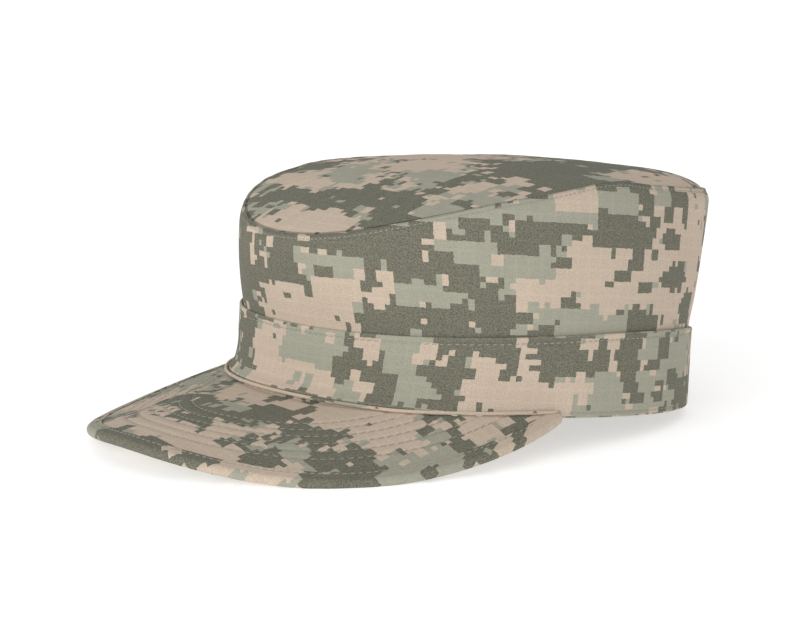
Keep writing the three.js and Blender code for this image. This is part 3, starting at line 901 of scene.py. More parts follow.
def row_on(grid, normal, measure, value, shown=slice(None)):
    """The line and the normals where the measure reaches the value, in the columns that are shown."""
    return traced(grid, measure, value)[shown], traced(normal, measure, value)[shown]


def walked(line, normal, closed, pitch):
    """Middles, directions and normals of the stitches at an even pitch along a line."""
    if closed:
        line, normal = np.concatenate([line, line[:1]]), np.concatenate([normal, normal[:1]])
    run = np.concatenate([[0.0], np.cumsum(np.linalg.norm(np.diff(line, axis=0), axis=1))])
    count = max(1, int(run[-1] / pitch))
    places = (np.arange(count) + 0.5) * run[-1] / count

    def at(values, where):
        return np.stack([np.interp(where, run, values[:, axis]) for axis in range(3)], -1)

    ahead = at(line, places + LOOK_AROUND) - at(line, places - LOOK_AROUND)
    return at(line, places), ahead, at(normal, places)


def thread_template(length):
    """A capsule along X: rings whose radius falls to nothing at both ends, arched upwards."""
    along = np.array(STITCH_RINGS)
    radius = THREAD_RADIUS * np.sqrt(1 - np.abs(2 * along) ** 4)
    turn = 2 * math.pi * np.arange(THREAD_SIDES) / THREAD_SIDES
    arch = STITCH_LIFT - (STITCH_LIFT + STITCH_DIVE) * np.abs(2 * along) ** 3
    x = np.repeat(along * length, THREAD_SIDES)
    y = (radius[:, None] * np.cos(turn)).ravel()
    z = (radius[:, None] * np.sin(turn) + arch[:, None]).ravel()
    return np.stack([x, y, z], -1), np.repeat(np.abs(2 * along), THREAD_SIDES)


def stitch_object(name, rows, seed, pitch):
    """All stitches of some rows as one mesh, each a copy of the template in its own axes."""
    centre, ahead, normal = (np.concatenate(part) for part in zip(*rows))
    draw = np.random.default_rng(seed)
    ahead = ahead / np.linalg.norm(ahead, axis=1)[:, None]
    side = np.cross(normal, ahead)
    side = side / np.linalg.norm(side, axis=1)[:, None]
    slant = draw.normal(STITCH_SLANT, STITCH_SLANT / 3, len(centre))[:, None]
    ahead = ahead + side * slant
    upwards = np.cross(ahead, side)
    template, dive = thread_template(pitch - STITCH_PAUSE)
    axes = np.stack([ahead, side, upwards], 1)
    shape = centre[:, None] + np.einsum("pi,sij->spj", template, axes)
    per_stitch = len(template)
    index = np.arange(per_stitch).reshape(len(STITCH_RINGS), THREAD_SIDES)
    index[[0, -1]] = index[[0, -1], :1]
    wrapped = np.pad(index, ((0, 0), (0, 1)), mode="wrap")
    quad = np.stack([wrapped[:-1, :-1], wrapped[:-1, 1:], wrapped[1:, 1:], wrapped[1:, :-1]], -1)
    corners = quad.reshape(1, -1, 4) + per_stitch * np.arange(len(centre))[:, None, None]
    return mesh_object(name, settled(shape).reshape(-1, 3), corners.reshape(-1, 4), None,
                       {"dive": np.tile(dive, len(centre))})


# %% The rows on the crown seam, the band's fold and the hem
crown_line = row_on(wall_out, wall_normal, wall_run, wall_run[-1] - SEAM_ROW + CLOTH / 2)
crown_row = walked(*crown_line, True, CROWN_PITCH)
crown_stitches = stitch_object("crown_stitches", [crown_row], 31, CROWN_PITCH)

fold_row = walked(*row_on(band_out, band_normal, -from_fold, -FOLD_ROW), True, BAND_PITCH)
fold_stitches = stitch_object("band_fold_stitches", [fold_row], 32, BAND_PITCH)

beside = np.abs(ring) > VISOR_ROOT_ANGLE + HEM_ROW_START
turned = np.roll(np.arange(RING_COLUMNS), RING_COLUMNS // 2)
hem_line = row_on(band_out, band_normal, band_rise, HEM_ROW, turned[beside[turned]])
hem_row = walked(*hem_line, False, BAND_PITCH)
hem_stitches = stitch_object("hem_stitches", [hem_row], 33, BAND_PITCH)

# %% The rows on the binding, above and below
NARROWEST_STITCHED = 9.0
wide = rays["width"] > NARROWEST_STITCHED
binding_rows = []
for value in (LEAF_ROW, binding_run[-1] - LEAF_ROW):
    line = row_on(binding_out, binding_normal, binding_run, value, wide)
    binding_rows.append(walked(*line, False, BAND_PITCH))
binding_stitches = stitch_object("binding_stitches", binding_rows, 34, BAND_PITCH)

# %% The quilting rows, above and below
ROLL_CLEARANCE = 1.0
STITCH_BED, ROW_TOLERANCE = 0.04, 0.08
fine_direction = np.arctan2(fine_edge[:, 0], -fine_edge[:, 1])


def quilt_line(row, drop, sign):
    """The edge moved inwards by the row's distance, where no edge is nearer and the roll is clear."""
    step = np.gradient(fine_edge[:, :2], axis=0)
    inwards = np.stack([-step[:, 1], step[:, 0]], -1) / np.linalg.norm(step, axis=1)[:, None]
    plan = fine_edge[:, :2] + inwards * row
    nearest = edge_distance(plan[None, :, 0], plan[None, :, 1])[0]
    plan = plan[nearest > row - ROW_TOLERANCE]
    turn = np.interp(np.arctan2(plan[:, 0], -plan[:, 1]), fine_direction, fine_turn)
    found = rays_at(turn)
    out = np.hypot(plan[:, 0], plan[:, 1]) - found["start"]
    line = plate_points(found, out, drop - sign * STITCH_BED, sign)
    line = line[out > ROLL_DIAMETER + ROLL_CLEARANCE]
    return walked(line, np.zeros(line.shape) + (0, 0, sign), False, QUILT_PITCH)


quilt_rows = [quilt_line(row, BINDING_STAND, 1) for row in QUILT_ROWS]
quilt_rows += [quilt_line(row, EDGE_THICKNESS - BINDING_STAND, -1) for row in QUILT_ROWS]
visor_stitches = stitch_object("visor_stitches", quilt_rows, 35, QUILT_PITCH)

# %% [markdown]
# Now the finishes. The cloth is one printed cotton, but every panel was cut from another place of
# the roll, so the print is built from parts that each panel feeds with its own values. Long chains
# of nodes are hard to read as code, so a small kit adds a node, fills its inputs in order and
# hands back the output: a recipe then reads like a formula.


# %% A small kit for wiring nodes
class Wiring:
    """Adds nodes to one tree. A value may be a number, a tuple or the output of another node."""

    def __init__(self, tree):
        self.tree = tree

    def feed(self, socket, value):
        """Links an output to the socket, or sets the socket's own value."""
        if isinstance(value, bpy.types.NodeSocket):
            self.tree.links.new(value, socket)
        elif value is not None:
            socket.default_value = value

    def add(self, kind, *values, **settings):
        """Adds a node, sets its options and fills its first inputs in order."""
        node = self.tree.nodes.new(kind)
        for name, value in settings.items():
            setattr(node, name, value)
        for socket, value in zip(node.inputs, values):
            self.feed(socket, value)
        return node

    def maths(self, operation, *values):
        """One step of arithmetic with plain numbers."""
        return self.add("ShaderNodeMath", *values, operation=operation).outputs[0]

    def vector(self, operation, *values):
        """One step of arithmetic with vectors."""
        node = self.add("ShaderNodeVectorMath", *values, operation=operation)
        return node.outputs["Value" if operation == "DOT_PRODUCT" else "Vector"]

    def noise(self, place, size, detail=1.0):
        """Soft noise whose bumps are about the given size in millimetres."""
        node = self.add("ShaderNodeTexNoise", place)
        self.feed(node.inputs["Scale"], 1 / size)
        self.feed(node.inputs["Detail"], detail)
        return node.outputs

    def dice(self, place):
        """Three random numbers that stay the same at the same place."""
        return self.add("ShaderNodeTexWhiteNoise", place).outputs["Color"]

    def blend(self, share, first, second):
        """The colour between two colours at the given share."""
        node = self.add("ShaderNodeMix", data_type="RGBA")
        for name, value in (("Factor_Float", share), ("A_Color", first), ("B_Color", second)):
            self.feed(next(socket for socket in node.inputs if socket.identifier == name), value)
        return next(socket for socket in node.outputs if socket.identifier == "Result_Color")


def new_group(name, inputs, outputs):
    """An empty shader group with named sockets, its wiring, and its two ends."""
    group = bpy.data.node_groups.new(name, "ShaderNodeTree")
    for direction, sockets in (("INPUT", inputs), ("OUTPUT", outputs)):
        for title, kind in sockets:
            group.interface.new_socket(title, in_out=direction, socket_type="NodeSocket" + kind)
    wire = Wiring(group)
    return group, wire, wire.add("NodeGroupInput").outputs, wire.add("NodeGroupOutput").inputs


def tone(red, green, blue):
    """A colour as seen on a screen, 0 to 255, turned into the linear values that nodes use."""
    share = np.array([red, green, blue]) / 255
    linear = np.where(share > 0.04045, ((share + 0.055) / 1.055) ** 2.4, share / 12.92)
    return (*linear.tolist(), 1.0)


print("mid grey is", [round(value, 3) for value in tone(128, 128, 128)[:3]])

# %% [markdown]
# The print is made of blocks. An image of it could be painted, but blocks can be worked out: the
# cloth is divided into small cells, two by two they make a large cell, and dice decide for each
# large cell whether it is split across, split upwards, both or not at all. A coin for each row of
# large cells moves it sideways by one small cell, so that no long upright line runs through. The
# group gives every point of a block the same place, the block's middle, so that whatever is worked
# out from it has one value all over the block. A slight wobble makes the edges a little uneven.

# %% The blocks of the print
CELL_WIDTH, CELL_HEIGHT = 2.3, 2.2
SPLIT_SHARE = (0.55, 0.5, 0.0)
EDGE_WOBBLE, WOBBLE_SIZE = 0.7, 1.5
HALF = (0.5, 0.5, 0.5)

blocks, wire, given, result = new_group("blocks", [("Place", "Vector")], [("Middle", "Vector")])
wobble = wire.vector("SUBTRACT", wire.noise(given["Place"], WOBBLE_SIZE)["Color"], HALF)
place = wire.vector("MULTIPLY_ADD", wobble, (EDGE_WOBBLE,) * 3, given["Place"])
cells = wire.vector("MULTIPLY", place, (1 / CELL_WIDTH, 1 / CELL_HEIGHT, 0))
large_row = wire.maths("FLOOR", wire.vector("DOT_PRODUCT", cells, (0, 0.5, 0)))
coin = wire.add("ShaderNodeTexWhiteNoise", None, large_row, noise_dimensions="1D").outputs["Value"]
shift = wire.add("ShaderNodeCombineXYZ", wire.maths("GREATER_THAN", coin, 0.5)).outputs["Vector"]
cells = wire.vector("ADD", cells, shift)
pairs = wire.vector("FLOOR", wire.vector("MULTIPLY", cells, (0.5, 0.5, 0)))
large = wire.vector("MULTIPLY_ADD", pairs, (2, 2, 0), (1, 1, 0))
small = wire.vector("ADD", wire.vector("FLOOR", cells), (0.5, 0.5, 0))
split = wire.vector("FLOOR", wire.vector("ADD", wire.dice(large), SPLIT_SHARE))
middle = wire.vector("MULTIPLY_ADD", split, wire.vector("SUBTRACT", small, large), large)
middle = wire.vector("SUBTRACT", middle, shift)
wire.feed(result["Middle"], wire.vector("MULTIPLY", middle, (CELL_WIDTH, CELL_HEIGHT, 0)))
print("blocks are", CELL_WIDTH, "to", 2 * CELL_WIDTH, "mm wide")

# %% [markdown]
# Three colours make the print. Each panel has a short chart of its large colour masses: the
# colour, the middle, and the half width and height, in millimetres of cloth. The masses are laid
# over each other in the chart's order, each with a strength that fades towards its edge, and what
# comes out is a vote for each colour. Soft noise decides where no mass is near. More noise and
# dice are added to the votes before they are counted, which is what gives a mass its stepped edge
# and its stray blocks.

# %% Votes for the three colours
VOTE = {"dark": (1, 0, 0), "tan": (0, 1, 0), "sage": (0, 0, 1)}
MASS_FADE = 0.5
DRIFT_SIZE, DRIFT_STRENGTH = 30.0, (3.4, 3.4, 3.4)
DRIFT_FAVOUR = (0.43, 0.28, 0.34)
EDGE_SIZE, EDGE_STRENGTH = 8.0, (2.1, 2.1, 2.1)
STRAY_STRENGTH = (0.8, 0.8, 0.8)


def mass_chart(name, chart):
    """A group that lays masses over each other: a fade to the power of x^4 + y^4 is their strength."""
    group, wire, given, result = new_group(name, [("Middle", "Vector")], [("Votes", "Vector")])
    votes = (0, 0, 0)
    for colour, along, up, half_wide, half_tall in chart:
        near = wire.vector("MULTIPLY_ADD", given["Middle"], (1 / half_wide, 1 / half_tall, 0),
                           (-along / half_wide, -up / half_tall, 0))
        square = wire.vector("MULTIPLY", near, near)
        strength = wire.maths("POWER", MASS_FADE, wire.vector("DOT_PRODUCT", square, square))
        change = wire.vector("SUBTRACT", VOTE[colour], votes)
        votes = wire.vector("MULTIPLY_ADD", change, strength, votes)
    wire.feed(result["Votes"], votes)
    print(name, "has", len(chart), "masses")
    return group


count, wire, given, result = new_group(
    "three_colours", [("Middle", "Vector"), ("Votes", "Vector")], [("Dark", "Float"), ("Tan", "Float")])
undecided = wire.maths("SUBTRACT", 1.0, wire.vector("DOT_PRODUCT", given["Votes"], (1, 1, 1)))
drift = wire.vector("SUBTRACT", wire.noise(given["Middle"], DRIFT_SIZE)["Color"], HALF)
drift = wire.vector("MULTIPLY_ADD", drift, DRIFT_STRENGTH, DRIFT_FAVOUR)
votes = wire.vector("MULTIPLY_ADD", drift, undecided, given["Votes"])
stepped = wire.vector("SUBTRACT", wire.noise(given["Middle"], EDGE_SIZE)["Color"], HALF)
votes = wire.vector("MULTIPLY_ADD", stepped, EDGE_STRENGTH, votes)
stray = wire.vector("SUBTRACT", wire.dice(given["Middle"]), HALF)
votes = wire.vector("MULTIPLY_ADD", stray, STRAY_STRENGTH, votes)
dark, tan, sage = wire.add("ShaderNodeSeparateXYZ", votes).outputs
wire.feed(result["Dark"], wire.maths("GREATER_THAN", dark, wire.maths("MAXIMUM", tan, sage)))
wire.feed(result["Tan"], wire.maths("GREATER_THAN", tan, wire.maths("MAXIMUM", dark, sage)))

# %% [markdown]
# The weave is one group for all panels. Ripstop cotton is plain cloth with a thicker double
# thread every few millimetres, both ways. The threads could be modelled one by one, but at this
# size they only show as a faint grid and as grain, so they are a height for the bump and a small
# change of colour. The dark dye takes unevenly, so the grain is strongest there, and all the dyes
# fade a little from place to place. The reverse of printed cloth is pale, with a ghost of the
# print. Last, the mask of the crown seam darkens the cloth that lies in the shade of its fold.

# %% The woven cloth
THREAD_PITCH = 0.52
RIPSTOP_PITCH, RIPSTOP_OFFSET, RIPSTOP_WIDTH = 5.2, 0.34, 0.16
RIPSTOP_RISE, RIPSTOP_LIGHT, RIPSTOP_FALL, UPRIGHT_SHARE = 0.06, 0.12, 0.4, 0.6
WEAVE_RISE, GRAIN_RISE = 0.022, 0.12
GRAIN_SIZE, GRAIN_LIGHT, GRAIN_DARK = 0.62, 0.42, 1.0
SPECK_PITCH, SPECK_SHARE = 0.36, 0.3
FADE_SIZE, FADE_LIGHT = 24.0, 0.12
TAN_DYE, SAGE_DYE, DARK_DYE = tone(197, 180, 162), tone(161, 160, 144), tone(113, 112, 98)
REVERSE, REVERSE_SHARE = tone(186, 180, 163), 0.72
CREASE_SHADE = 0.5
ROUGHNESS, ROUGHNESS_GRAIN = 0.86, 0.25

woven, wire, given, result = new_group(
    "woven_cotton",
    [("Cloth", "Vector"), ("Dark", "Float"), ("Tan", "Float"), ("Inside", "Float"), ("Crease", "Float")],
    [("Color", "Color"), ("Roughness", "Float"), ("Height", "Float")])
dye = wire.blend(given["Dark"], wire.blend(given["Tan"], SAGE_DYE, TAN_DYE), DARK_DYE)
dye = wire.blend(wire.maths("MULTIPLY", given["Inside"], REVERSE_SHARE), dye, REVERSE)
along, up = wire.add("ShaderNodeSeparateXYZ", given["Cloth"]).outputs[:2]
ridges = []
for across in (along, up):
    off = wire.maths("SUBTRACT", wire.maths("PINGPONG", across, RIPSTOP_PITCH / 2), RIPSTOP_OFFSET)
    near = wire.maths("DIVIDE", off, RIPSTOP_WIDTH)
    ridges.append(wire.maths("POWER", RIPSTOP_FALL, wire.maths("MULTIPLY", near, near)))
ridge = wire.maths("MAXIMUM", wire.maths("MULTIPLY", ridges[0], UPRIGHT_SHARE), ridges[1])
grain = wire.maths("SUBTRACT", wire.noise(given["Cloth"], GRAIN_SIZE)["Fac"], 0.5)
threads = wire.vector("FLOOR", wire.vector("MULTIPLY", given["Cloth"], (1 / SPECK_PITCH,) * 3))
speck = wire.maths("SUBTRACT", wire.add("ShaderNodeTexWhiteNoise", threads).outputs["Value"], 0.5)
coarse = wire.maths("MULTIPLY_ADD", given["Dark"], GRAIN_DARK, GRAIN_LIGHT)
fade = wire.maths("SUBTRACT", wire.noise(given["Cloth"], FADE_SIZE, 2.0)["Fac"], 0.5)
light = wire.maths("MULTIPLY_ADD", wire.maths("MULTIPLY_ADD", speck, SPECK_SHARE, grain), coarse, 1.0)
light = wire.maths("MULTIPLY_ADD", fade, FADE_LIGHT, light)
light = wire.maths("MULTIPLY_ADD", ridge, RIPSTOP_LIGHT, light)
shade = wire.maths("MULTIPLY_ADD", given["Crease"], -CREASE_SHADE, 1.0)
light = wire.maths("MULTIPLY", light, shade)
wire.feed(result["Color"], wire.vector("MULTIPLY", dye, light))
wire.feed(result["Roughness"], wire.maths("MULTIPLY_ADD", grain, ROUGHNESS_GRAIN, ROUGHNESS))
turns_along = wire.maths("SINE", wire.maths("MULTIPLY", along, math.pi / THREAD_PITCH))
turns_up = wire.maths("SINE", wire.maths("MULTIPLY", up, math.pi / THREAD_PITCH))
weave = wire.maths("MULTIPLY", turns_along, turns_up)
height = wire.maths("MULTIPLY_ADD", weave, WEAVE_RISE, wire.maths("MULTIPLY", ridge, RIPSTOP_RISE))
wire.feed(result["Height"], wire.maths("MULTIPLY_ADD", grain, GRAIN_RISE, height))

# %% [markdown]
# A finish starts with the panel's print map and a Mapping node that turns it where the cloth was
# cut on the slant. The blocks follow, then a second Mapping that turns back for the chart, then
# the count and the weave. The Principled shader and the Bump stay outside the groups. Cotton has a
# dull surface with a little sheen from its fibres, and those are the same all over, so they are
# set on the shader itself.

# %% One finish for each panel
CUT_ON_THE_SLANT = math.radians(45)
DULL_COTTON = {"Sheen Weight": 0.02, "Sheen Roughness": 0.5, "Specular IOR Level": 0.2}


def set_values(shader, values):
    """Sets the shader's own sockets, each by its title."""
    for title, value in values.items():
        shader.inputs[title].default_value = value


def shader_of(name):
    """A new material, its wiring and its Principled shader, set up as dull cotton."""
    material = bpy.data.materials.new(name)
    material.use_nodes = True
    shader = material.node_tree.nodes["Principled BSDF"]
    set_values(shader, DULL_COTTON)
    return material, Wiring(material.node_tree), shader


def printed_cotton(name, chart, turn=0.0):
    """A finish whose blocks lie at a turn to the panel, while its masses follow the panel."""
    material, wire, shader = shader_of(name)
    uv = wire.add("ShaderNodeUVMap", uv_map="print").outputs["UV"]
    cloth = wire.add("ShaderNodeMapping", uv, None, (0, 0, turn)).outputs["Vector"]
    middle = wire.add("ShaderNodeGroup", node_tree=blocks)
    wire.feed(middle.inputs["Place"], cloth)
    middle = middle.outputs["Middle"]
    back = wire.add("ShaderNodeMapping", middle, None, (0, 0, turn), vector_type="TEXTURE")
    votes = wire.add("ShaderNodeGroup", node_tree=mass_chart(name + "_masses", chart))
    wire.feed(votes.inputs["Middle"], back.outputs["Vector"])
    counted = wire.add("ShaderNodeGroup", node_tree=count)
    wire.feed(counted.inputs["Middle"], middle)
    wire.feed(counted.inputs["Votes"], votes.outputs["Votes"])
    cotton = wire.add("ShaderNodeGroup", node_tree=woven)
    wire.feed(cotton.inputs["Cloth"], cloth)
    for title in ("Dark", "Tan"):
        wire.feed(cotton.inputs[title], counted.outputs[title])
    for title in ("Inside", "Crease"):
        mask = wire.add("ShaderNodeAttribute", attribute_name=title.lower()).outputs["Fac"]
        wire.feed(cotton.inputs[title], mask)
    wire.feed(shader.inputs["Base Color"], cotton.outputs["Color"])
    wire.feed(shader.inputs["Roughness"], cotton.outputs["Roughness"])
    bump = wire.add("ShaderNodeBump")
    wire.feed(bump.inputs["Distance"], MM)
    wire.feed(bump.inputs["Height"], cotton.outputs["Height"])
    wire.feed(shader.inputs["Normal"], bump.outputs["Normal"])
    return material


# %% [markdown]
# The charts say where the large patches of each colour lie. They could be drawn as curves, but a
# short list for each panel is quick to write and easy to change. On the wall and the band the
# first number runs round the cap and the second up from the hem; the top and the visor are
# charted in plan, and the binding and the roll along their length.

# %% The chart of the wall
WALL_MASSES = [
    ("tan", 6, 36, 32, 12), ("tan", 31, 45, 10, 5), ("dark", -44, 46, 20, 26),
    ("dark", -20, 46, 12, 5), ("dark", -5, 54, 12, 9), ("dark", 10, 63, 20, 5),
    ("tan", -25, 55, 3, 7), ("tan", -15, 53, 5, 2.5), ("sage", 22, 54, 13, 5),
    ("dark", 23, 50, 3.5, 3), ("dark", 10, 47, 4, 2), ("dark", 13, 43, 3, 2.5),
    ("dark", 45, 64, 22, 6), ("dark", 58, 68, 14, 5), ("dark", 58, 55, 16, 8),
    ("dark", 57, 34, 19, 8), ("tan", 46, 41, 4, 3), ("tan", 50, 49, 3, 4), ("sage", 61, 45, 8, 5),
    ("sage", 75, 44, 7, 6), ("dark", 74, 33, 8, 6), ("sage", 84, 62, 14, 5), ("sage", 97, 74, 18, 6),
    ("dark", 80, 52, 8, 5), ("dark", 90, 40, 12, 13), ("dark", 112, 71, 18, 6),
    ("sage", 122, 79, 18, 4), ("dark", 84, 71, 4, 4), ("dark", 91, 70, 3, 3), ("dark", 96, 62, 4, 3),
    ("tan", 125, 84, 8, 4), ("tan", 184, 64, 32, 30), ("dark", 142, 72, 11, 8),
    ("sage", 146, 84, 8, 5), ("tan", 122, 50, 27, 9), ("tan", 136, 60, 12, 6),
    ("sage", 131, 36, 21, 6), ("dark", 122, 44, 4, 2.5), ("dark", 163, 37, 14, 5),
    ("dark", 155, 88, 5, 3), ("dark", 161, 83, 3, 5), ("sage", 170, 86, 5, 4),
    ("dark", 179, 88, 5, 3), ("dark", 155, 75, 3, 3), ("dark", 165, 76, 3, 3),
    ("dark", 174, 80, 3, 3), ("dark", 155, 66, 3, 6), ("dark", 160, 69, 3, 4),
    ("dark", 166, 63, 3, 3), ("dark", 152, 59, 3, 3), ("dark", 176, 70, 6, 4),
    ("dark", 180, 55, 9, 5), ("dark", 186, 82, 3, 6), ("dark", 161, 50, 4, 3),
    ("dark", 188, 57, 3, 6), ("dark", 200, 42, 7, 8), ("sage", 101, 57, 13, 6),
]

# %% The chart of the band
BAND_MASSES = [
    ("dark", -36, 18, 9, 13), ("tan", -19, 18, 8, 7), ("sage", 14, 19, 19, 8), ("tan", 4, 6, 26, 6),
    ("dark", 38, 13, 12, 4), ("dark", 33, 20, 3, 5), ("sage", 57, 19, 9, 8), ("tan", 43, 20, 4, 4),
    ("tan", 38, 24, 3, 3), ("tan", 65, 22, 4, 4), ("dark", 50, 7, 5, 6), ("dark", 76, 11, 10, 10),
    ("sage", 36, 5, 5, 5), ("tan", 42, 5, 3, 3), ("sage", 5, 6, 2, 3), ("sage", 14, 6, 2, 3),
    ("dark", 82, 26, 12, 4), ("sage", 63, 6, 6, 5), ("tan", 110, 8, 28, 6), ("dark", 122, 23, 27, 7),
    ("tan", 88, 18, 5, 5), ("tan", 105, 23, 4, 6), ("tan", 130, 28, 5, 3), ("tan", 145, 26, 3, 5),
    ("sage", 144, 10, 7, 8), ("dark", 156, 20, 7, 12), ("sage", 182, 18, 22, 14),
    ("dark", 170, 20, 6, 3), ("dark", 176, 10, 4, 5), ("dark", 177, 27, 4, 4),
    ("dark", 187, 14, 5, 5), ("dark", 199, 6, 8, 7),
]

# %% The chart of the top
TOP_MASSES = [
    ("dark", -8, -77, 30, 8), ("dark", 24, -72, 22, 7), ("dark", 50, -86, 16, 7),
    ("tan", 2, -94, 26, 8), ("tan", -54, -54, 16, 8), ("tan", -36, -62, 13, 9),
    ("dark", -68, -36, 16, 10), ("sage", -24, -50, 13, 9), ("dark", 40, 10, 18, 26),
    ("dark", 62, -10, 26, 20), ("tan", 0, -26, 18, 12), ("tan", -20, 0, 22, 14),
    ("tan", -40, 25, 18, 20), ("dark", 20, 62, 30, 22), ("sage", 27, -46, 11, 8),
    ("sage", 54, -72, 8, 5), ("tan", 57, -31, 6, 4), ("tan", 50, -45, 5, 7), ("dark", 37, -42, 6, 12),
    ("dark", 72, -24, 12, 9), ("sage", 66, -56, 10, 5), ("sage", 74, 1, 8, 6),
    ("tan", 70, 22, 10, 11), ("tan", 76, 42, 12, 14),
]

# %% The chart of the visor
VISOR_MASSES = [
    ("tan", -8, -106, 22, 10), ("tan", -5, -155, 34, 9), ("tan", -55, -125, 14, 12),
    ("sage", -60, -94, 15, 9), ("dark", -28, -123, 15, 7), ("dark", 0, -130, 12, 8),
    ("dark", 6, -142, 9, 5), ("dark", 18, -119, 10, 9), ("tan", 16, -104, 8, 4),
    ("tan", 20, -138, 11, 4), ("dark", 42, -119, 15, 7), ("tan", 38, -102, 10, 5),
    ("dark", 26, -107, 3, 5), ("dark", 5, -103, 4, 3), ("tan", 29, -129, 5, 4),
    ("tan", 27, -154, 16, 8), ("dark", 49, -141, 6, 7), ("sage", 53, -131, 5, 4),
    ("tan", 61, -138, 5, 4), ("dark", 64, -127, 5, 5), ("tan", 54, -91, 22, 9),
    ("dark", 68, -111, 5, 6), ("dark", 76, -117, 7, 7), ("tan", 59, -116, 3, 3),
    ("tan", 70, -100, 8, 7), ("dark", 74, -75, 3, 3), ("sage", 77, -84, 3, 4),
    ("dark", 85, -79, 4, 5), ("sage", 78, -105, 5, 5), ("tan", 84, -65, 8, 8),
    ("dark", 91, -55, 5, 7), ("sage", 0, -122, 8, 3), ("dark", 15, -148, 2, 2),
    ("dark", 28, -148, 2, 2), ("tan", 50, -103, 10, 5), ("dark", -15, -160, 4, 2.5),
    ("dark", -30, -147, 4, 2.5),
]

# %% The chart of the binding, along the edge of the visor
BINDING_MASSES = [
    ("sage", 158, 5, 15, 12), ("dark", 203, 5, 32, 12), ("tan", 216, 2, 3, 3), ("tan", 225, 9, 3, 3),
    ("tan", 252, 5, 17, 12), ("dark", 283, 5, 16, 12), ("sage", 312, 5, 14, 12),
    ("dark", 316, 8, 3, 4), ("sage", 325, 5, 7, 12), ("dark", 340, 5, 9, 12), ("dark", 358, 5, 6, 12),
    ("tan", 350, 5, 3.5, 12), ("tan", 374, 5, 11, 12),
]

# %% Dress the panels
ROLL_MASSES = [("tan", 130, 0, 300, 20), ("sage", 160, 0, 9, 9), ("dark", 149, 0, 4, 9)]
for piece, finish in [
    (side_wall_cloth, printed_cotton("wall_cotton", WALL_MASSES)),
    (band_cloth, printed_cotton("band_cotton", BAND_MASSES)),
    (crown_top_cloth, printed_cotton("top_cotton", TOP_MASSES)),
    (visor_cloth, printed_cotton("visor_cotton", VISOR_MASSES)),
    (visor_binding_cloth, printed_cotton("binding_cotton", BINDING_MASSES, CUT_ON_THE_SLANT)),
    (visor_piping_cloth, printed_cotton("roll_cotton", ROLL_MASSES, CUT_ON_THE_SLANT)),
]:
    piece.data.materials.append(finish)

# %% [markdown]
# The thread is a spun polyester in a pale grey that goes with all three colours. It lies on the
# cloth in the middle of each stitch and dives into it at the ends, where it sits in the shade of
# its hole, so the mask that was worked out with each stitch darkens it there.

# %% The thread
THREAD_DYE, THREAD_HOLE = tone(172, 170, 159), tone(50, 46, 38)
THREAD_ROUGHNESS, HOLE_SHARPNESS = 0.7, 3.0

thread, wire, shader = shader_of("thread")
dive = wire.add("ShaderNodeAttribute", attribute_name="dive").outputs["Fac"]
hidden = wire.maths("POWER", dive, HOLE_SHARPNESS)
wire.feed(shader.inputs["Base Color"], wire.blend(hidden, THREAD_DYE, THREAD_HOLE))
wire.feed(shader.inputs["Roughness"], THREAD_ROUGHNESS)
for piece in [crown_stitches, fold_stitches, hem_stitches, binding_stitches, visor_stitches]:
    piece.data.materials.append(thread)

# %% [markdown]
# The cap stands on a plain pale floor. One soft key light comes in low over the camera's left
# shoulder, and the white surroundings fill the shade. An area lamp could stand there, but a sun
# lamp with a wide angle is just as strong everywhere, so the floor stays evenly pale up to the
# horizon. The picture is shown with the Standard transform, because the colours of the cloth were
# matched so.

# %% Floor and light
FLOOR_REACH = 30.0
KEY_AZIMUTH, KEY_ELEVATION = math.radians(15), math.radians(17)
KEY_STRENGTH, KEY_SOFTNESS = 1.46, math.radians(50)
FILL_STRENGTH, BACKDROP_STRENGTH = 0.6, 1.05
WHITE = (1, 1, 1, 1)
FLOOR_PAINT = {"Base Color": (0.82, 0.82, 0.82, 1), "Roughness": 1.0, "Specular IOR Level": 0.0,
               "Emission Color": WHITE, "Emission Strength": 0.5}

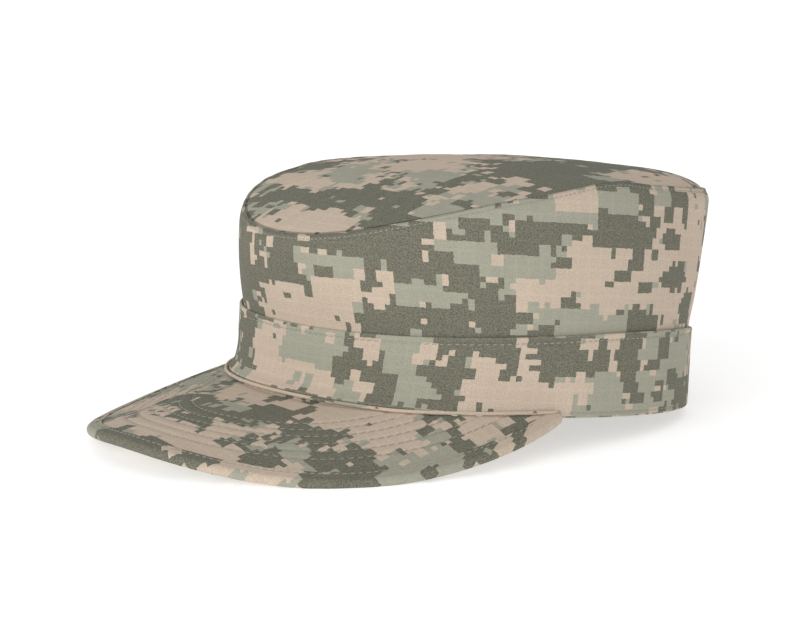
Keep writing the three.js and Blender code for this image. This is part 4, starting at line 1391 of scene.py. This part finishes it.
floor_mesh = bpy.data.meshes.new("floor")
floor_mesh.from_pydata(
    [(-FLOOR_REACH, -FLOOR_REACH, 0), (FLOOR_REACH, -FLOOR_REACH, 0),
     (FLOOR_REACH, FLOOR_REACH, 0), (-FLOOR_REACH, FLOOR_REACH, 0)], [], [(0, 1, 2, 3)])
floor = bpy.data.objects.new("floor", floor_mesh)
scene.collection.objects.link(floor)
paint = bpy.data.materials.new("floor_paint")
paint.use_nodes = True
set_values(paint.node_tree.nodes["Principled BSDF"], FLOOR_PAINT)
floor_mesh.materials.append(paint)

key = bpy.data.objects.new("soft_key", bpy.data.lights.new("soft_key", "SUN"))
key.data.energy = KEY_STRENGTH
key.data.angle = KEY_SOFTNESS
towards_key = Vector((math.sin(KEY_AZIMUTH) * math.cos(KEY_ELEVATION),
                      -math.cos(KEY_AZIMUTH) * math.cos(KEY_ELEVATION), math.sin(KEY_ELEVATION)))
key.rotation_euler = towards_key.to_track_quat("Z", "Y").to_euler()
scene.collection.objects.link(key)

world = bpy.data.worlds.new("studio")
scene.world = world
world.use_nodes = True
fill = world.node_tree.nodes["Background"]
fill.inputs["Color"].default_value = WHITE
wire = Wiring(world.node_tree)
seen = wire.add("ShaderNodeLightPath").outputs["Is Camera Ray"]
strength = wire.maths("MULTIPLY_ADD", seen, BACKDROP_STRENGTH - FILL_STRENGTH, FILL_STRENGTH)
wire.feed(fill.inputs["Strength"], strength)
scene.view_settings.view_transform = "Standard"

# %% [markdown]
# Last, the pieces are tied to the frame. Nothing on the cap moves against the rest, so all of them
# ride on its one body. Each panel takes the place of the imported solid that it dresses, and the
# rows of stitches are extra.

# %% Ride and replace
for piece, node, slot in [
    (band_cloth, "band", "band_cloth"),
    (side_wall_cloth, "side_wall", "wall_cloth"),
    (crown_top_cloth, "crown_top", "top_cloth"),
    (visor_cloth, "visor", "visor_cloth"),
    (visor_binding_cloth, "visor_binding", "binding_cloth"),
    (visor_piping_cloth, "visor_piping", "piping_cloth"),
]:
    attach(piece, "root")
    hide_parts(node)
for piece, slot in [(crown_stitches, "wall_cloth"), (fold_stitches, "band_cloth"),
                    (hem_stitches, "band_cloth"), (binding_stitches, "binding_cloth"),
                    (visor_stitches, "visor_cloth")]:
    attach(piece, "root")
